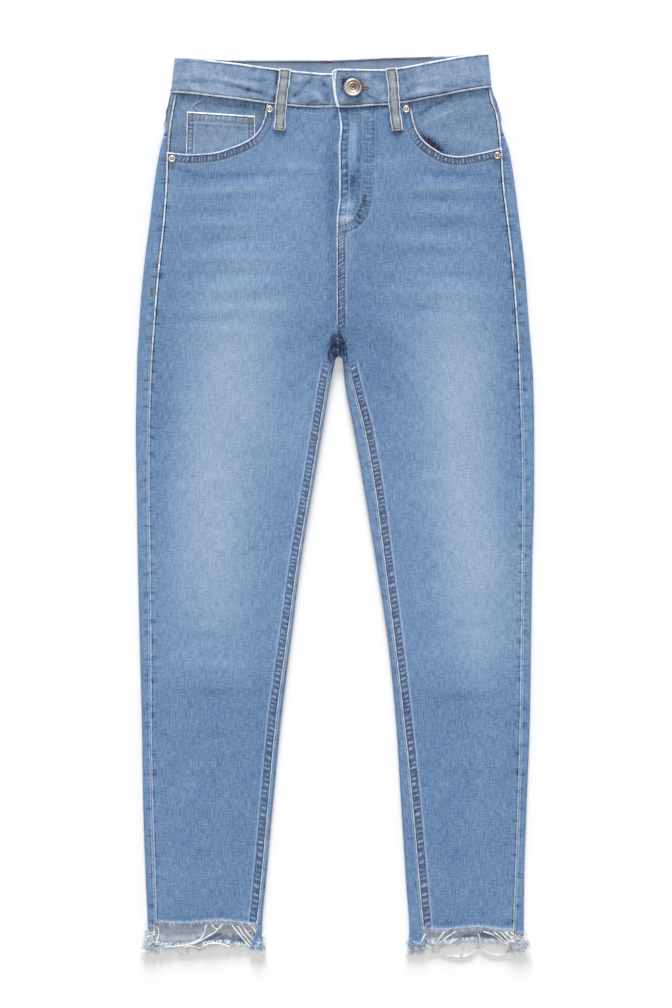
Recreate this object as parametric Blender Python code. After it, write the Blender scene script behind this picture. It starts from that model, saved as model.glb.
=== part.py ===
"""High-waisted skinny jeans with raw hems, laid flat on their back.

Each cut piece is its own wall of cloth. The waist points to +Y, the wearer's right leg lies on
the -X side, and the underside rests on z = 0. Sizes are in millimetres until a mesh is made.
A "drop" is a distance down the garment from the highest point of the waist.
"""

import math
import random
from bisect import bisect_right

import bmesh
import bpy
from mathutils import Matrix, Vector

MM = 0.001

# ---------------------------------------------------------------- driving sizes, in millimetres
LENGTH = 1016.0             # from the top of the waist to the longest thread of the hem
CLOTH = 1.1                 # one layer of stretch denim
BAND_CLOTH = 2.2            # the waistband: two layers and an interlining, sewn as one
BAND_LEVEL = 8.1            # height of its upper face over the table
BAND_HALF, BAND_FLARE = 179.0, 4.4      # its reach from the middle, and more at its lower edge
SEAM_GAP = 0.35             # between two pieces that are sewn edge to edge
LAYER_GAP = 0.3             # between a piece and the one it lies on
CENTRE_FRONT = 1.5          # x of the fly edge and the centre front seam
CENTRE_BACK = 4.4           # x of the centre back seam, which lies underneath
CROTCH_DROP = 311.0         # drop at which the two fronts part
LEG_DROP = 365.0            # drop from which each leg is a tube of its own

LOOP_WIDTH, LOOP_CLOTH = 12.6, 1.5
BUTTON_WIDTH, BUTTON_HEIGHT = 19.0, 4.6
RIVET_WIDTH, RIVET_HEIGHT = 8.0, 1.7
POCKET_BAND = 10.5          # the turned and twin-stitched edge of a front pocket
FELL_BAND = 10.0            # the flat-felled inseam
RIDGE = 0.5                 # how far such a doubled edge stands up
COIN_CLOTH = 0.9
BACK_POCKET_WIDTH, BACK_POCKET_TOP, BACK_POCKET_TIP = 132.0, 136.0, 284.0
BACK_POCKET_CLOTH = 1.0

# ---------------------------------------------------------------- tables read off the garment
LEG_COLUMNS = ("drop", "fold_out", "seam_out", "seam_in", "fold_in")

# The folds are the outline seen from above; the seams are where front and back meet on top.
RIGHT_LEG = (
    (44, -183.5, -177.5, 1.5, 4.4),
    (65, -186.5, -181.0, 1.5, 4.4),
    (83, -189.5, -184.0, 1.5, 4.4),
    (108, -196.0, -188.0, 1.5, 4.4),
    (141, -201.5, -189.5, 1.5, 4.4),
    (186, -207.0, -192.5, 1.5, 4.4),
    (231, -212.8, -197.3, 1.5, 4.4),
    (276, -217.3, -201.5, 1.5, 4.4),
    (300, -218.9, -203.4, 1.6, 4.4),
    (311, -219.5, -204.1, 4.2, 4.4),
    (318, -220.0, -204.7, 0.8, 4.4),
    (326, -220.5, -205.3, -1.6, 4.2),
    (340, -221.4, -206.3, -3.2, 1.6),
    (365, -221.9, -207.6, -7.4, -4.4),
    (421, -222.9, -209.0, -16.4, -14.0),
    (488, -221.9, -209.3, -27.4, -25.2),
    (567, -220.6, -208.2, -40.6, -38.1),
    (656, -218.5, -207.3, -52.8, -49.3),
    (746, -216.2, -206.9, -65.0, -60.5),
    (836, -214.8, -205.3, -73.4, -69.2),
    (925, -211.7, -202.4, -81.4, -77.3),
    (976, -209.6, -201.2, -87.0, -81.6),
    (1004, -213.5, -203.5, -88.0, -80.8),
)
LEFT_LEG = (
    (36, 176.0, 173.6, 1.5, 4.4),
    (52, 178.6, 175.8, 1.5, 4.4),
    (65, 183.6, 180.2, 1.5, 4.4),
    (83, 186.8, 182.8, 1.5, 4.4),
    (108, 194.8, 186.6, 1.5, 4.4),
    (141, 200.5, 189.0, 1.5, 4.4),
    (186, 206.1, 194.2, 1.5, 4.4),
    (231, 211.7, 199.4, 1.5, 4.4),
    (276, 215.2, 203.2, 1.5, 4.4),
    (300, 216.9, 204.9, 1.6, 4.4),
    (311, 217.8, 205.7, 4.6, 4.4),
    (318, 218.5, 206.2, 7.4, 4.4),
    (326, 219.2, 206.6, 10.2, 4.8),
    (340, 220.3, 207.3, 12.6, 8.6),
    (365, 221.9, 208.2, 18.0, 10.8),
    (421, 222.9, 210.2, 32.3, 21.3),
    (488, 222.8, 211.4, 44.2, 33.0),
    (567, 220.7, 210.8, 54.4, 45.9),
    (656, 219.5, 209.7, 65.8, 59.2),
    (746, 218.0, 208.5, 76.3, 68.3),
    (836, 214.6, 206.2, 85.4, 73.9),
    (925, 211.7, 203.2, 93.3, 79.5),
    (982, 211.2, 201.2, 98.3, 83.3),
    (1004, 214.3, 202.6, 98.6, 81.0),
)

# Height of the front's upper face, and of the back's lower face, over the table it lies on.
LOFT_COLUMNS = ("drop", "top", "rest")
LOFT = (
    (30, 7.2, 1.9),
    (100, 7.2, 1.9),
    (140, 7.2, 1.4),
    (290, 6.8, 1.4),
    (350, 5.8, 0.0),
    (480, 5.4, 0.0),
    (700, 5.2, 0.0),
    (925, 4.9, 0.0),
    (1004, 4.6, 0.0),
)

# Where the backs roll over at the crotch: the outline between the legs, and what lies on it.
SADDLE_COLUMNS = ("side_drop", "fold_x", "fold_drop", "seam_drop")
SADDLE = {
    "right": (
        (318, 4.2, 339.2, 312.2),
        (326, 2.6, 339.6, 318.0),
        (333, 1.0, 340.8, 325.0),
        (341, 0.2, 343.4, 334.0),
        (352, -1.6, 352.0, 347.0),
    ),
    "left": (
        (318, 4.6, 339.2, 312.2),
        (326, 6.4, 339.6, 318.0),
        (333, 8.0, 340.8, 325.0),
        (341, 8.8, 343.4, 334.0),
        (352, 9.6, 352.0, 347.0),
    ),
}

# Upper edge and height of the waistband: each half of the front, and the back behind them.
BAND_COLUMNS = ("x", "drop", "height")
BAND_RIGHT = ((-178, 4.8, 39), (-124, 9.3, 40), (-63, 17.4, 40), (-24, 21.4, 39),
              (-8, 22.4, 37.5), (36, 22.4, 37))
BAND_LEFT = ((-4, 17.4, 43), (10, 17.4, 43), (54, 18.0, 40), (70, 16.2, 40), (112, 8.4, 40),
             (150, 1.8, 39), (171, 0.0, 38))
BAND_BACK = ((-178, 4.8, 39), (-110, 7.3, 40), (-10, 7.2, 40), (55, 4.6, 40), (138, 1.9, 39),
             (171, 0.0, 38))

# Mouth of a front pocket against x, from the side seam to the rivet by the belt loop.
MOUTH_COLUMNS = ("x", "drop")
MOUTH_RIGHT = ((-192, 110.4), (-163, 112.8), (-139, 111.4), (-111, 103.2), (-93, 94.0),
               (-84, 84.0), (-78.5, 71.5), (-76, 56.0))
MOUTH_LEFT = ((-192, 105.6), (-163, 111.2), (-139, 115.0), (-124, 113.2), (-110, 105.8),
              (-99, 97.0), (-91, 85.0), (-86.5, 70.0), (-85, 56.0))  # x mirrored

# Soft folds in the front: centre, half length along, half width across, slope and height.
FOLD_COLUMNS = ("x", "drop", "half_length", "half_width", "slope", "height")
FOLDS = (
    (-92, 150, 62, 10, 0.10, 0.7),
    (-100, 184, 74, 12, 0.12, 0.8),
    (-110, 222, 72, 13, 0.16, 0.7),
    (-96, 262, 78, 14, 0.20, 0.6),
    (106, 146, 60, 10, -0.10, 0.7),
    (116, 178, 64, 12, -0.12, 0.8),
    (110, 218, 76, 13, -0.16, 0.7),
    (100, 256, 80, 14, -0.22, 0.6),
    (-60, 318, 44, 14, 0.55, 0.6),
    (66, 316, 44, 14, -0.55, 0.6),
    (-150, 470, 16, 60, 0.0, 0.5),
    (-112, 700, 60, 22, 0.10, 0.5),
    (150, 520, 18, 64, 0.0, 0.5),
    (132, 715, 58, 22, -0.10, 0.5),
)

FRONT_BLEND_DROP = 138.0    # below this the front's rows run level
FRONT_BLEND_ROWS = 4
TUBE_DROPS = (393, 952, 43)  # first, last and step of the rows down a leg


class Table:
    """Rows of sizes with named columns, read between its rows by a smooth monotone curve."""

    def __init__(self, columns, rows):
        self.keys = [row[0] for row in rows]
        self.values = {name: [row[k] for row in rows] for k, name in enumerate(columns)}

    def slope(self, values, k):
        if k in (0, len(values) - 1):
            return 0.0
        before = (values[k] - values[k - 1]) / (self.keys[k] - self.keys[k - 1])
        after = (values[k + 1] - values[k]) / (self.keys[k + 1] - self.keys[k])
        return 0.0 if before * after <= 0 else 2 * before * after / (before + after)

    def at(self, column, key):
        keys, values = self.keys, self.values[column]
        if key <= keys[0]:
            return values[0]
        if key >= keys[-1]:
            return values[-1]
        k = bisect_right(keys, key) - 1
        span = keys[k + 1] - keys[k]
        t = (key - keys[k]) / span
        start = (1 + 2 * t) * (1 - t) ** 2 * values[k] + t * t * (3 - 2 * t) * values[k + 1]
        first = t * (1 - t) ** 2 * span * self.slope(values, k)
        last = t * t * (t - 1) * span * self.slope(values, k + 1)
        return start + first + last


LEGS = {"right": Table(LEG_COLUMNS, RIGHT_LEG), "left": Table(LEG_COLUMNS, LEFT_LEG)}
SIDE = {"right": -1, "left": 1}
LOFTS = Table(LOFT_COLUMNS, LOFT)
BANDS = {
    "right": Table(BAND_COLUMNS, BAND_RIGHT),
    "left": Table(BAND_COLUMNS, BAND_LEFT),
    "back": Table(BAND_COLUMNS, BAND_BACK),
}
MOUTHS = {"right": Table(MOUTH_COLUMNS, MOUTH_RIGHT), "left": Table(MOUTH_COLUMNS, MOUTH_LEFT)}
FRONT_HEM = {"right": 974.0, "left": 981.0}
BACK_HEM = {"right": 997.0, "left": 994.0}


def lerp(a, b, share):
    return a + (b - a) * share


def ease(value):
    """0 below 0, 1 above 1, and a smooth step between them."""
    value = min(1.0, max(0.0, value))
    return value * value * (3 - 2 * value)


def spaced(first, last, step):
    """Even steps from first to last, each close to step."""
    count = max(1, round(abs(last - first) / step))
    return [lerp(first, last, k / count) for k in range(count + 1)]


# ---------------------------------------------------------------- heights of the upper layer
def mouth_drop(side, x):
    """Drop of the pocket mouth at x."""
    return MOUTHS[side].at("drop", -abs(x))


def mouth_end(side):
    """How far from the centre the mouth meets the waistband."""
    return abs(MOUTHS[side].keys[-1])


def mouth_line(side):
    far = spaced(-195, -mouth_end(side), 2.5)
    return [(abs(x), MOUTHS[side].at("drop", x)) for x in far]


MOUTH_LINES = {side: mouth_line(side) for side in SIDE}


def mouth_distance(side, x, drop):
    """How far a point of the front lies from the pocket mouth."""
    return min(math.hypot(abs(x) - far, drop - at) for far, at in MOUTH_LINES[side])


def flared(x, share):
    """Where the band's cloth at x lies, at a share of the way down the band."""
    return x + BAND_FLARE * share * (x / BAND_HALF) ** 3


def band_bottom(part, x):
    """Drop of the band's lower edge at x."""
    x -= BAND_FLARE * (x / (BAND_HALF + BAND_FLARE)) ** 3
    return BANDS[part].at("drop", x) + BANDS[part].at("height", x)


def soft_folds(x, drop):
    total = 0.0
    for fold in FOLDS:
        at = dict(zip(FOLD_COLUMNS, fold))
        along = x - at["x"]
        across = drop - at["drop"] + along * at["slope"]
        spread = (along / at["half_length"]) ** 2 + (across / at["half_width"]) ** 2
        total += at["height"] * math.exp(-2 * spread)
    return total


def fly_height(x, drop):
    """The fly's extra layers, full height inside the curve of its stitching."""
    lift, across, foot, bend = 0.7, 36.0, 192.0, 34.0
    reach = FELL_BAND
    if drop < foot:
        reach = max(reach, across * math.sqrt(1 - max(0.0, (drop - foot + bend) / bend) ** 2))
    fade = ease((CROTCH_DROP + 19 - drop) / 20)
    return lift * ease((reach - (x - CENTRE_FRONT)) / 5 + 0.5) * fade


def top_height(side, x, drop):
    """Height of the front's upper face over the table."""
    leg = LEGS[side]
    top = LOFTS.at("top", drop)
    radius = (top - LOFTS.at("rest", drop)) / 2
    to_fold = abs(x - leg.at("fold_out", drop))
    if drop > CROTCH_DROP:
        not_yet = radius * (1 - ease((drop - 340) / (LEG_DROP - 340)))
        to_fold = min(to_fold, abs(leg.at("fold_in", drop) - x) + not_yet)
    height = top + soft_folds(x, drop) * ease(to_fold / 26)
    if to_fold < radius:
        height -= radius - math.sqrt(radius ** 2 - (radius - to_fold) ** 2)
    if drop > CROTCH_DROP:
        band = ease((FELL_BAND - abs(x - leg.at("seam_in", drop))) / 3 + 0.5)
        height += RIDGE * band * ease((drop - CROTCH_DROP) / 20)
    if side == "left":
        height += fly_height(x, drop)
    if drop < FRONT_BLEND_DROP:
        height += RIDGE * ease((POCKET_BAND - mouth_distance(side, x, drop)) / 3 + 0.5)
    return height


def facing_height(side, x, drop):
    """Upper face of a pocket's backing cloth, lowest where the coin pocket and front cover it."""
    near = ease(1.35 - (mouth_drop(side, x) - drop) / 26)
    hidden = CLOTH + LAYER_GAP + (COIN_CLOTH + LAYER_GAP if side == "right" else 0.0)
    return LOFTS.at("top", drop) - lerp(CLOTH + 0.5, hidden, near)


def band_height(side, x):
    """Upper face of the waistband's front; the left end lies over the right one."""
    lift, lifted_from, sink, sunk_from = 1.3, 62.0, 1.2, -24.0
    if side == "left":
        return BAND_LEVEL + lift * ease((lifted_from - x) / 24)
    return BAND_LEVEL - sink * ease((x - sunk_from) / 16)


# ---------------------------------------------------------------- meshes
def material(name, colour, roughness=0.9, metallic=0.0):
    made = bpy.data.materials.get(name) or bpy.data.materials.new(name)
    made.use_nodes = True
    shader = made.node_tree.nodes["Principled BSDF"]
    shader.inputs["Base Color"].default_value = (*colour, 1)
    shader.inputs["Roughness"].default_value = roughness
    shader.inputs["Metallic"].default_value = metallic
    return made


def add_object(name, bm, look, smooth=True):
    bmesh.ops.recalc_face_normals(bm, faces=bm.faces)
    if bm.calc_volume(signed=True) < 0:
        bmesh.ops.reverse_faces(bm, faces=bm.faces)
    mesh = bpy.data.meshes.new(name)
    bm.to_mesh(mesh)
    bm.free()
    mesh.materials.append(look)
    if smooth:
        mesh.shade_smooth()
        mesh.set_sharp_from_angle(angle=math.radians(50))
    made = bpy.data.objects.new(name, mesh)
    bpy.context.scene.collection.objects.link(made)
    return made


def place(x, drop, z):
    return Vector((x, LENGTH / 2 - drop, z)) * MM


def wall(name, rows, look):
    """A closed wall of cloth. rows holds (outer, inner) pairs of points, and a row may be
    longer than the one before it."""
    bm = bmesh.new()
    outer = [[bm.verts.new(pair[0]) for pair in row] for row in rows]
    inner = {}
    for row, verts in zip(rows, outer):
        for pair, vert in zip(row, verts):
            inner[vert] = bm.verts.new(pair[1])
    faces = []
    for upper, lower in zip(outer, outer[1:]):
        for k in range(min(len(upper), len(lower)) - 1):
            faces.append(bm.faces.new((upper[k], lower[k], lower[k + 1], upper[k + 1])))
    rims = [edge for edge in bm.edges if edge.is_boundary]
    for face in faces:
        bm.faces.new([inner[vert] for vert in reversed(face.verts)])
    for edge in rims:
        a, b = edge.verts
        bm.faces.new((a, b, inner[b], inner[a]))
    return add_object(name, bm, look)


def sheet(name, grid, height, thickness, look):
    """A wall whose upper face lies at height(x, drop) over a grid of (x, drop) places."""
    rows = []
    for line in grid:
        levels = [(x, drop, height(x, drop)) for x, drop in line]
        rows.append([(place(x, drop, z), place(x, drop, z - thickness)) for x, drop, z in levels])
    return wall(name, rows, look)


def turned(name, profile, centre, look, steps):
    """A round piece spun from a profile of (radius, height) pairs that starts and ends at 0."""
    bm = bmesh.new()
    verts = [bm.verts.new((radius * MM, 0, height * MM)) for radius, height in profile]
    for a, b in zip(verts, verts[1:]):
        bm.edges.new((a, b))
    bmesh.ops.spin(bm, geom=bm.verts[:] + bm.edges[:], cent=(0, 0, 0), axis=(0, 0, 1),
                   angle=math.tau, steps=steps, use_merge=True)
    bmesh.ops.remove_doubles(bm, verts=bm.verts, dist=1e-6)
    made = add_object(name, bm, look)
    made.location = place(*centre)
    return made


# ---------------------------------------------------------------- fronts and pockets
def front_sides(side, drop):
    """x of a front's outer and inner edges: its seams, less half the gap there."""
    leg, half = LEGS[side], SIDE[side] * SEAM_GAP / 2
    return leg.at("seam_out", drop) - half, leg.at("seam_in", drop) + half


def front_columns(side):
    """Shares of a front's width, closer together under the steep end of the pocket mouth."""
    outer, inner = (abs(x) for x in front_sides(side, 105))
    end = mouth_end(side)
    far = [outer, 174, 158, 141, 124, end + 24, end + 14, end + 7, end + 2.5, end + 0.2,
           62, 44, 26, 12, inner]
    return [(outer - x) / (outer - inner) for x in far]


def front_top(side, share):
    """Drop of a front's upper edge at a share of its width: the pocket mouth, then the band."""
    drop = 90.0
    for _ in range(14):
        x = lerp(*front_sides(side, drop), share)
        found = band_bottom(side, x) + SEAM_GAP + 0.1
        if abs(x) > mouth_end(side):
            found = mouth_drop(side, x)
        drop = lerp(drop, found, 0.6)
    return drop


def hem_wave(side, share):
    """The uneven cut of a raw hem at a share of its width."""
    return 1.3 * math.sin(share * 9 + SIDE[side]) - 1.2 * math.sin(share * math.pi)


def make_front(side, look):
    shares = front_columns(side)
    tops = [front_top(side, share) for share in shares]
    level = spaced(FRONT_BLEND_DROP, 298, 16)
    level += [CROTCH_DROP, 318, 326, 333, 340, 352, LEG_DROP] + spaced(*TUBE_DROPS)
    drops = [[lerp(top, FRONT_BLEND_DROP, k / FRONT_BLEND_ROWS) for top in tops]
             for k in range(FRONT_BLEND_ROWS)]
    drops += [[drop] * len(shares) for drop in level]
    drops.append([FRONT_HEM[side] + hem_wave(side, share) for share in shares])
    grid = [[(lerp(*front_sides(side, drop), share), drop) for share, drop in zip(shares, row)]
            for row in drops]
    sheet(f"front_{side}", grid, lambda x, drop: top_height(side, x, drop), CLOTH, look)


def make_facing(side, look):
    """The hip piece that shows inside a pocket's mouth, tucked under the front and the band."""
    under_band, under_front, clear_of_fold = 3.0, 9.0, (5.0, 1.2)
    inner = SIDE[side] * (mouth_end(side) - under_front / 2)
    columns = []
    for share in (0, 0.07, 0.16, 0.28, 0.4, 0.52, 0.64, 0.76, 0.88, 1):
        x = lerp(front_sides(side, 75)[0], inner, share)
        top = band_bottom(side, x) - under_band
        foot = mouth_drop(side, max(abs(x), mouth_end(side))) + under_front
        foot = max(foot, top + 14)
        edge = (under_band + SEAM_GAP) / (foot - top)
        columns.append([(share, lerp(top, foot, at)) for at in (0, edge, 0.35, 0.55, 0.78, 1)])
    grid = []
    for k, row in enumerate(zip(*columns)):
        line = [(lerp(front_sides(side, drop)[0], inner, share), drop) for share, drop in row]
        if k < 2:
            line[0] = (line[0][0] - SIDE[side] * clear_of_fold[k], line[0][1])
        grid.append(line)
    sheet(f"pocket_facing_{side}", grid, lambda x, drop: facing_height(side, x, drop), CLOTH, look)


def make_coin_pocket(look):
    """The small pocket on the right facing, its foot hidden behind the front."""
    outer_x, inner_x, outer_drop, inner_drop = -165.5, -89.5, 65.0, 70.0
    under_front, splay, rows = 7.5, 1.6, 5
    grid = []
    for row in range(rows + 1):
        line = []
        for share in (0, 0.1, 0.3, 0.5, 0.7, 0.9, 1):
            x = lerp(outer_x, inner_x, share)
            top, foot = lerp(outer_drop, inner_drop, share), mouth_drop("right", x) + under_front
            line.append((x - splay * (1 - share) * row / rows, lerp(top, foot, row / rows)))
        grid.append(line)
    lift = LAYER_GAP + COIN_CLOTH
    sheet("coin_pocket", grid, lambda x, drop: facing_height("right", x, drop) + lift,
          COIN_CLOTH, look)


# ---------------------------------------------------------------- backs
ARC_STEPS, STRIP_STEPS = 4, 2
STRIP_LEAST = 2.0
ACROSS = (0.07, 0.19, 0.34, 0.5, 0.66, 0.81, 0.93)


def rolled(reach, radius):
    """Points of a wall that rolls from a seam on the upper side round a fold to the underside.

    Each is (distance in from the fold, height, normal in, normal up), from the seam on."""
    arc = math.pi * radius
    strip = max(reach - radius, 0.0)
    turn = math.pi if reach >= radius else math.pi / 2 + math.acos(1 - reach / radius)
    nominal = arc + max(strip, STRIP_LEAST)
    steps = [arc + (nominal - arc) * k / STRIP_STEPS for k in range(STRIP_STEPS, 0, -1)]
    steps += [arc * k / ARC_STEPS for k in range(ARC_STEPS, -1, -1)]
    points = []
    for at in steps:
        at *= (strip + radius * turn) / nominal
        if at > arc:
            points.append((radius + at - arc, 2 * radius, 0.0, 1.0))
        else:
            angle = at / radius
            points.append((radius * (1 - math.sin(angle)), radius * (1 - math.cos(angle)),
                           -math.sin(angle), -math.cos(angle)))
    points[0] = (*points[0][:2], 0.0, 1.0)
    return points


def roll_at(fold, seam, drop):
    """The rolled points over a fold, towards a seam, each an (x, drop) place: a list of
    (outer, inner) points from the seam to the underside."""
    rest, top = LOFTS.at("rest", drop), LOFTS.at("top", drop)
    inward = Vector(seam) - Vector(fold)
    reach = inward.length
    inward.normalize()
    points = []
    for at, height, normal_in, normal_up in rolled(reach, (top - rest) / 2):
        x, down = Vector(fold) + inward * at
        nx, nd = inward * normal_in * CLOTH
        outer = (x, down, rest + height)
        points.append((outer, (x - nx, down - nd, rest + height - normal_up * CLOTH)))
    return points


def back_row(side, side_drop, inner_end):
    """One row of a back, from the side seam round the outer fold and across the underside."""
    leg = LEGS[side]
    fold, seam = leg.at("fold_out", side_drop), leg.at("seam_out", side_drop)
    start = roll_at((fold, side_drop), (seam + SIDE[side] * SEAM_GAP / 2, side_drop), side_drop)
    a, b = start[-1][0], inner_end[0][0]
    across = []
    for share in ACROSS:
        outer = tuple(lerp(p, q, share) for p, q in zip(a, b))
        across.append((outer, (outer[0], outer[1], outer[2] + CLOTH)))
    return start + across + inner_end


def torso_row(side, side_drop, centre_drop):
    """A row that ends at the centre back seam, on the underside."""
    x, rest = CENTRE_BACK + SIDE[side] * SEAM_GAP / 2, LOFTS.at("rest", centre_drop)
    return back_row(side, side_drop, [((x, centre_drop, rest), (x, centre_drop, rest + CLOTH))])


def leg_row(side, side_drop, fold, seam):
    """A row that rolls round the inner fold up to the inseam."""
    return back_row(side, side_drop, roll_at(fold, seam, fold[1])[::-1])


def tube_row(side, drop):
    leg = LEGS[side]
    seam = leg.at("seam_in", drop) - SIDE[side] * SEAM_GAP / 2
    return leg_row(side, drop, (leg.at("fold_in", drop), drop), (seam, drop))


def saddle_rows(side):
    rows = []
    for k, row in enumerate(SADDLE[side]):
        at = dict(zip(SADDLE_COLUMNS, row))
        seam = LEGS[side].at("seam_in", at["seam_drop"]) - SIDE[side] * SEAM_GAP / 2
        fold = at["fold_x"]
        if k == 0:
            fold = seam = CENTRE_BACK + SIDE[side] * SEAM_GAP / 2
        rows.append(leg_row(side, at["side_drop"], (fold, at["fold_drop"]),
                            (seam, at["seam_drop"])))
    return rows


def placed(rows):
    return [[(place(*outer), place(*inner)) for outer, inner in row] for row in rows]


def picked(make_row, drops):
    """A row whose every point is taken from the row at that point's own drop."""
    return [make_row(drop)[k] for k, drop in enumerate(drops)]


def yoke_seam(side, gap=0.0):
    """Drops of the yoke's lower seam, deepest at the centre back."""
    at_side, at_centre, half = 92.0, 121.0, 190.0
    return [lerp(at_side, at_centre, ease(1 - abs(outer[0] - CENTRE_BACK) / half)) + gap
            for outer, _ in torso_row(side, 110, 110)]


def make_yoke(side, look):
    clear = SEAM_GAP + 0.8
    edge = []
    for (x, _, z), _inner in torso_row(side, 62, 62):
        upper = ease((z - 3) / 3)
        edge.append(lerp(band_bottom("back", x), band_bottom(side, x), upper) + clear)
    seam = yoke_seam(side)
    rows = []
    for share in (0, 0.35, 0.7, 1):
        drops = [lerp(a, b, share) for a, b in zip(edge, seam)]
        rows.append(picked(lambda drop: torso_row(side, drop, drop), drops))
    wall(f"back_yoke_{side}", placed(rows), look)


def back_hem(side):
    """Drops of a back's raw hem: level with the front at the seams, longer underneath."""
    row = tube_row(side, BACK_HEM[side])
    first, last = row[ARC_STEPS + STRIP_STEPS][0][0], row[-ARC_STEPS - STRIP_STEPS - 1][0][0]
    hem = []
    for (x, _, z), _inner in row:
        share = min(1.0, max(0.0, (x - first) / (last - first)))
        low = BACK_HEM[side] + hem_wave(side, share)
        hem.append(lerp(low, FRONT_HEM[side] + 3, ease((z - 0.8) / 3.2)))
    return hem


def make_back(side, look):
    top = yoke_seam(side, SEAM_GAP)
    rows = []
    for share in (0, 0.35, 0.7):
        drops = [lerp(drop, FRONT_BLEND_DROP, share) for drop in top]
        rows.append(picked(lambda drop: torso_row(side, drop, drop), drops))
    rows += [torso_row(side, drop, drop) for drop in (FRONT_BLEND_DROP, 185, 240, 285)]
    rows += [torso_row(side, 300, 306), torso_row(side, 310, 324)]
    rows += saddle_rows(side)
    rows += [tube_row(side, drop) for drop in [LEG_DROP] + spaced(*TUBE_DROPS)]
    rows.append(picked(lambda drop: tube_row(side, drop), back_hem(side)))
    wall(f"back_{side}", placed(rows), look)


def make_back_pocket(side, look):
    """A five-sided patch pocket on the underside, which the jeans rest on."""
    middle, half = SIDE[side] * 100.0, BACK_POCKET_WIDTH / 2
    taper, point = 0.86, 22.0
    grid = []
    for share in (0, 0.5, 0.85, 1):
        line = []
        for across in (-1, -0.5, 0, 0.5, 1):
            width = lerp(half, half * taper, share)
            foot = BACK_POCKET_TIP - point * abs(across)
            line.append((middle + across * width, lerp(BACK_POCKET_TOP, foot, share)))
        grid.append(line)
    sheet(f"back_pocket_{side}", grid, lambda x, drop: BACK_POCKET_CLOTH, BACK_POCKET_CLOTH, look)


# ---------------------------------------------------------------- waistband, loops, trims
def make_waistband(look):
    """One band from the button end, round the wearer's left, the back and the right side."""
    rest = LOFTS.at("rest", 30)
    radius = (BAND_LEVEL - rest) / 2
    left, right = 171.4 - radius, -179.2 + radius
    slant = 5.1
    section = [(x, "left", band_height("left", x), 0.0, 1.0)
               for x in (-3.4, 2, 12, 24, 36, 48, 62, 84, 106, 128, 150)]
    for angle in (math.pi / 2 - math.pi * k / 4 for k in range(5)):
        section.append((left + radius * math.cos(angle), "left",
                        rest + radius + radius * math.sin(angle), math.cos(angle), math.sin(angle)))
    section += [(x, "back", rest, 0.0, -1.0) for x in spaced(left, right, 29)[1:-1]]
    for angle in (-math.pi / 2 - math.pi * k / 4 for k in range(5)):
        section.append((right + radius * math.cos(angle), "right",
                        rest + radius + radius * math.sin(angle), math.cos(angle), math.sin(angle)))
    section += [(x, "right", band_height("right", x), 0.0, 1.0)
                for x in (-150, -124, -98, -72, -48, -32, -24, -16, -8, 4, 20, 34)]
    rows = []
    for share in (0, 0.12, 0.88, 1):
        row = []
        for x, part, z, nx, nz in section:
            drop = BANDS[part].at("drop", x) + BANDS[part].at("height", x) * share
            at = flared(x, share)
            if part == "left" and nz == 1:
                at += slant * share * ease((8 - x) / 11)
            row.append((place(at, drop, z),
                        place(at - nx * BAND_CLOTH, drop, z - nz * BAND_CLOTH)))
        rows.append(row)
    wall("waistband", rows, look)


def make_loop(name, top, foot, height, look):
    """A strap from top to foot, each an (x, drop), that lies at height(x, drop)."""
    along = Vector(foot) - Vector(top)
    across = Vector((-along.y, along.x)).normalized() * LOOP_WIDTH / 2
    grid = []
    for share in (0, 0.05, 0.15, 0.35, 0.55, 0.64, 0.72, 0.85, 0.95, 1):
        middle = Vector(top) + along * share
        grid.append([tuple(middle + across * side) for side in (-1, 0, 1)])
    sheet(name, grid, height, LOOP_CLOTH, look)


def front_loop_height(side):
    """A height that rides over the waistband and steps down to the front below it."""
    def height(x, drop):
        edge = band_bottom(side, x)
        band = band_height(side, x)
        front = max(top_height(side, x, max(drop, edge + 1)), band - 0.9)
        upper = lerp(band, front, ease((drop - edge - 3) / 7))
        bow = 0.5 * math.sin(math.pi * min(1.0, max(0.0, (drop - edge + 42) / 56)))
        settle = 0.25 * ease((drop - edge) / 10)
        return upper + LAYER_GAP + LOOP_CLOTH + bow + settle
    return height


def make_loops(look):
    make_loop("belt_loop_front_right", (-56.0, 17.0), (-62.6, 86.0), front_loop_height("right"), look)
    make_loop("belt_loop_front_left", (62.6, 16.4), (69.6, 86.4), front_loop_height("left"), look)
    make_loop("belt_loop_side_right", (-170.0, 7.0), (-184.0, 82.0), lambda x, d: LOOP_CLOTH, look)
    make_loop("belt_loop_side_left", (158.6, 3.5), (180.6, 82.0), lambda x, d: LOOP_CLOTH, look)
    make_loop("belt_loop_back", (-8.6, 7.5), (-8.6, 82.0), lambda x, d: LOOP_CLOTH, look)


def make_button(look):
    """A shank button: rolled rim, sunk dish, inner ring and a small centre stud."""
    r, h = BUTTON_WIDTH / 2, BUTTON_HEIGHT
    x, drop = 20.4, 39.2
    profile = [(0, 0), (r * 0.62, 0), (r * 0.66, h * 0.28), (r * 0.92, h * 0.34), (r, h * 0.55),
               (r * 0.95, h * 0.9), (r * 0.84, h), (r * 0.72, h * 0.86), (r * 0.62, h * 0.74),
               (r * 0.52, h * 0.84), (r * 0.42, h * 0.84), (r * 0.3, h * 0.6), (0, h * 0.62)]
    turned("button", profile, (x, drop, band_height("left", x) + LAYER_GAP), look, 20)


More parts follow.
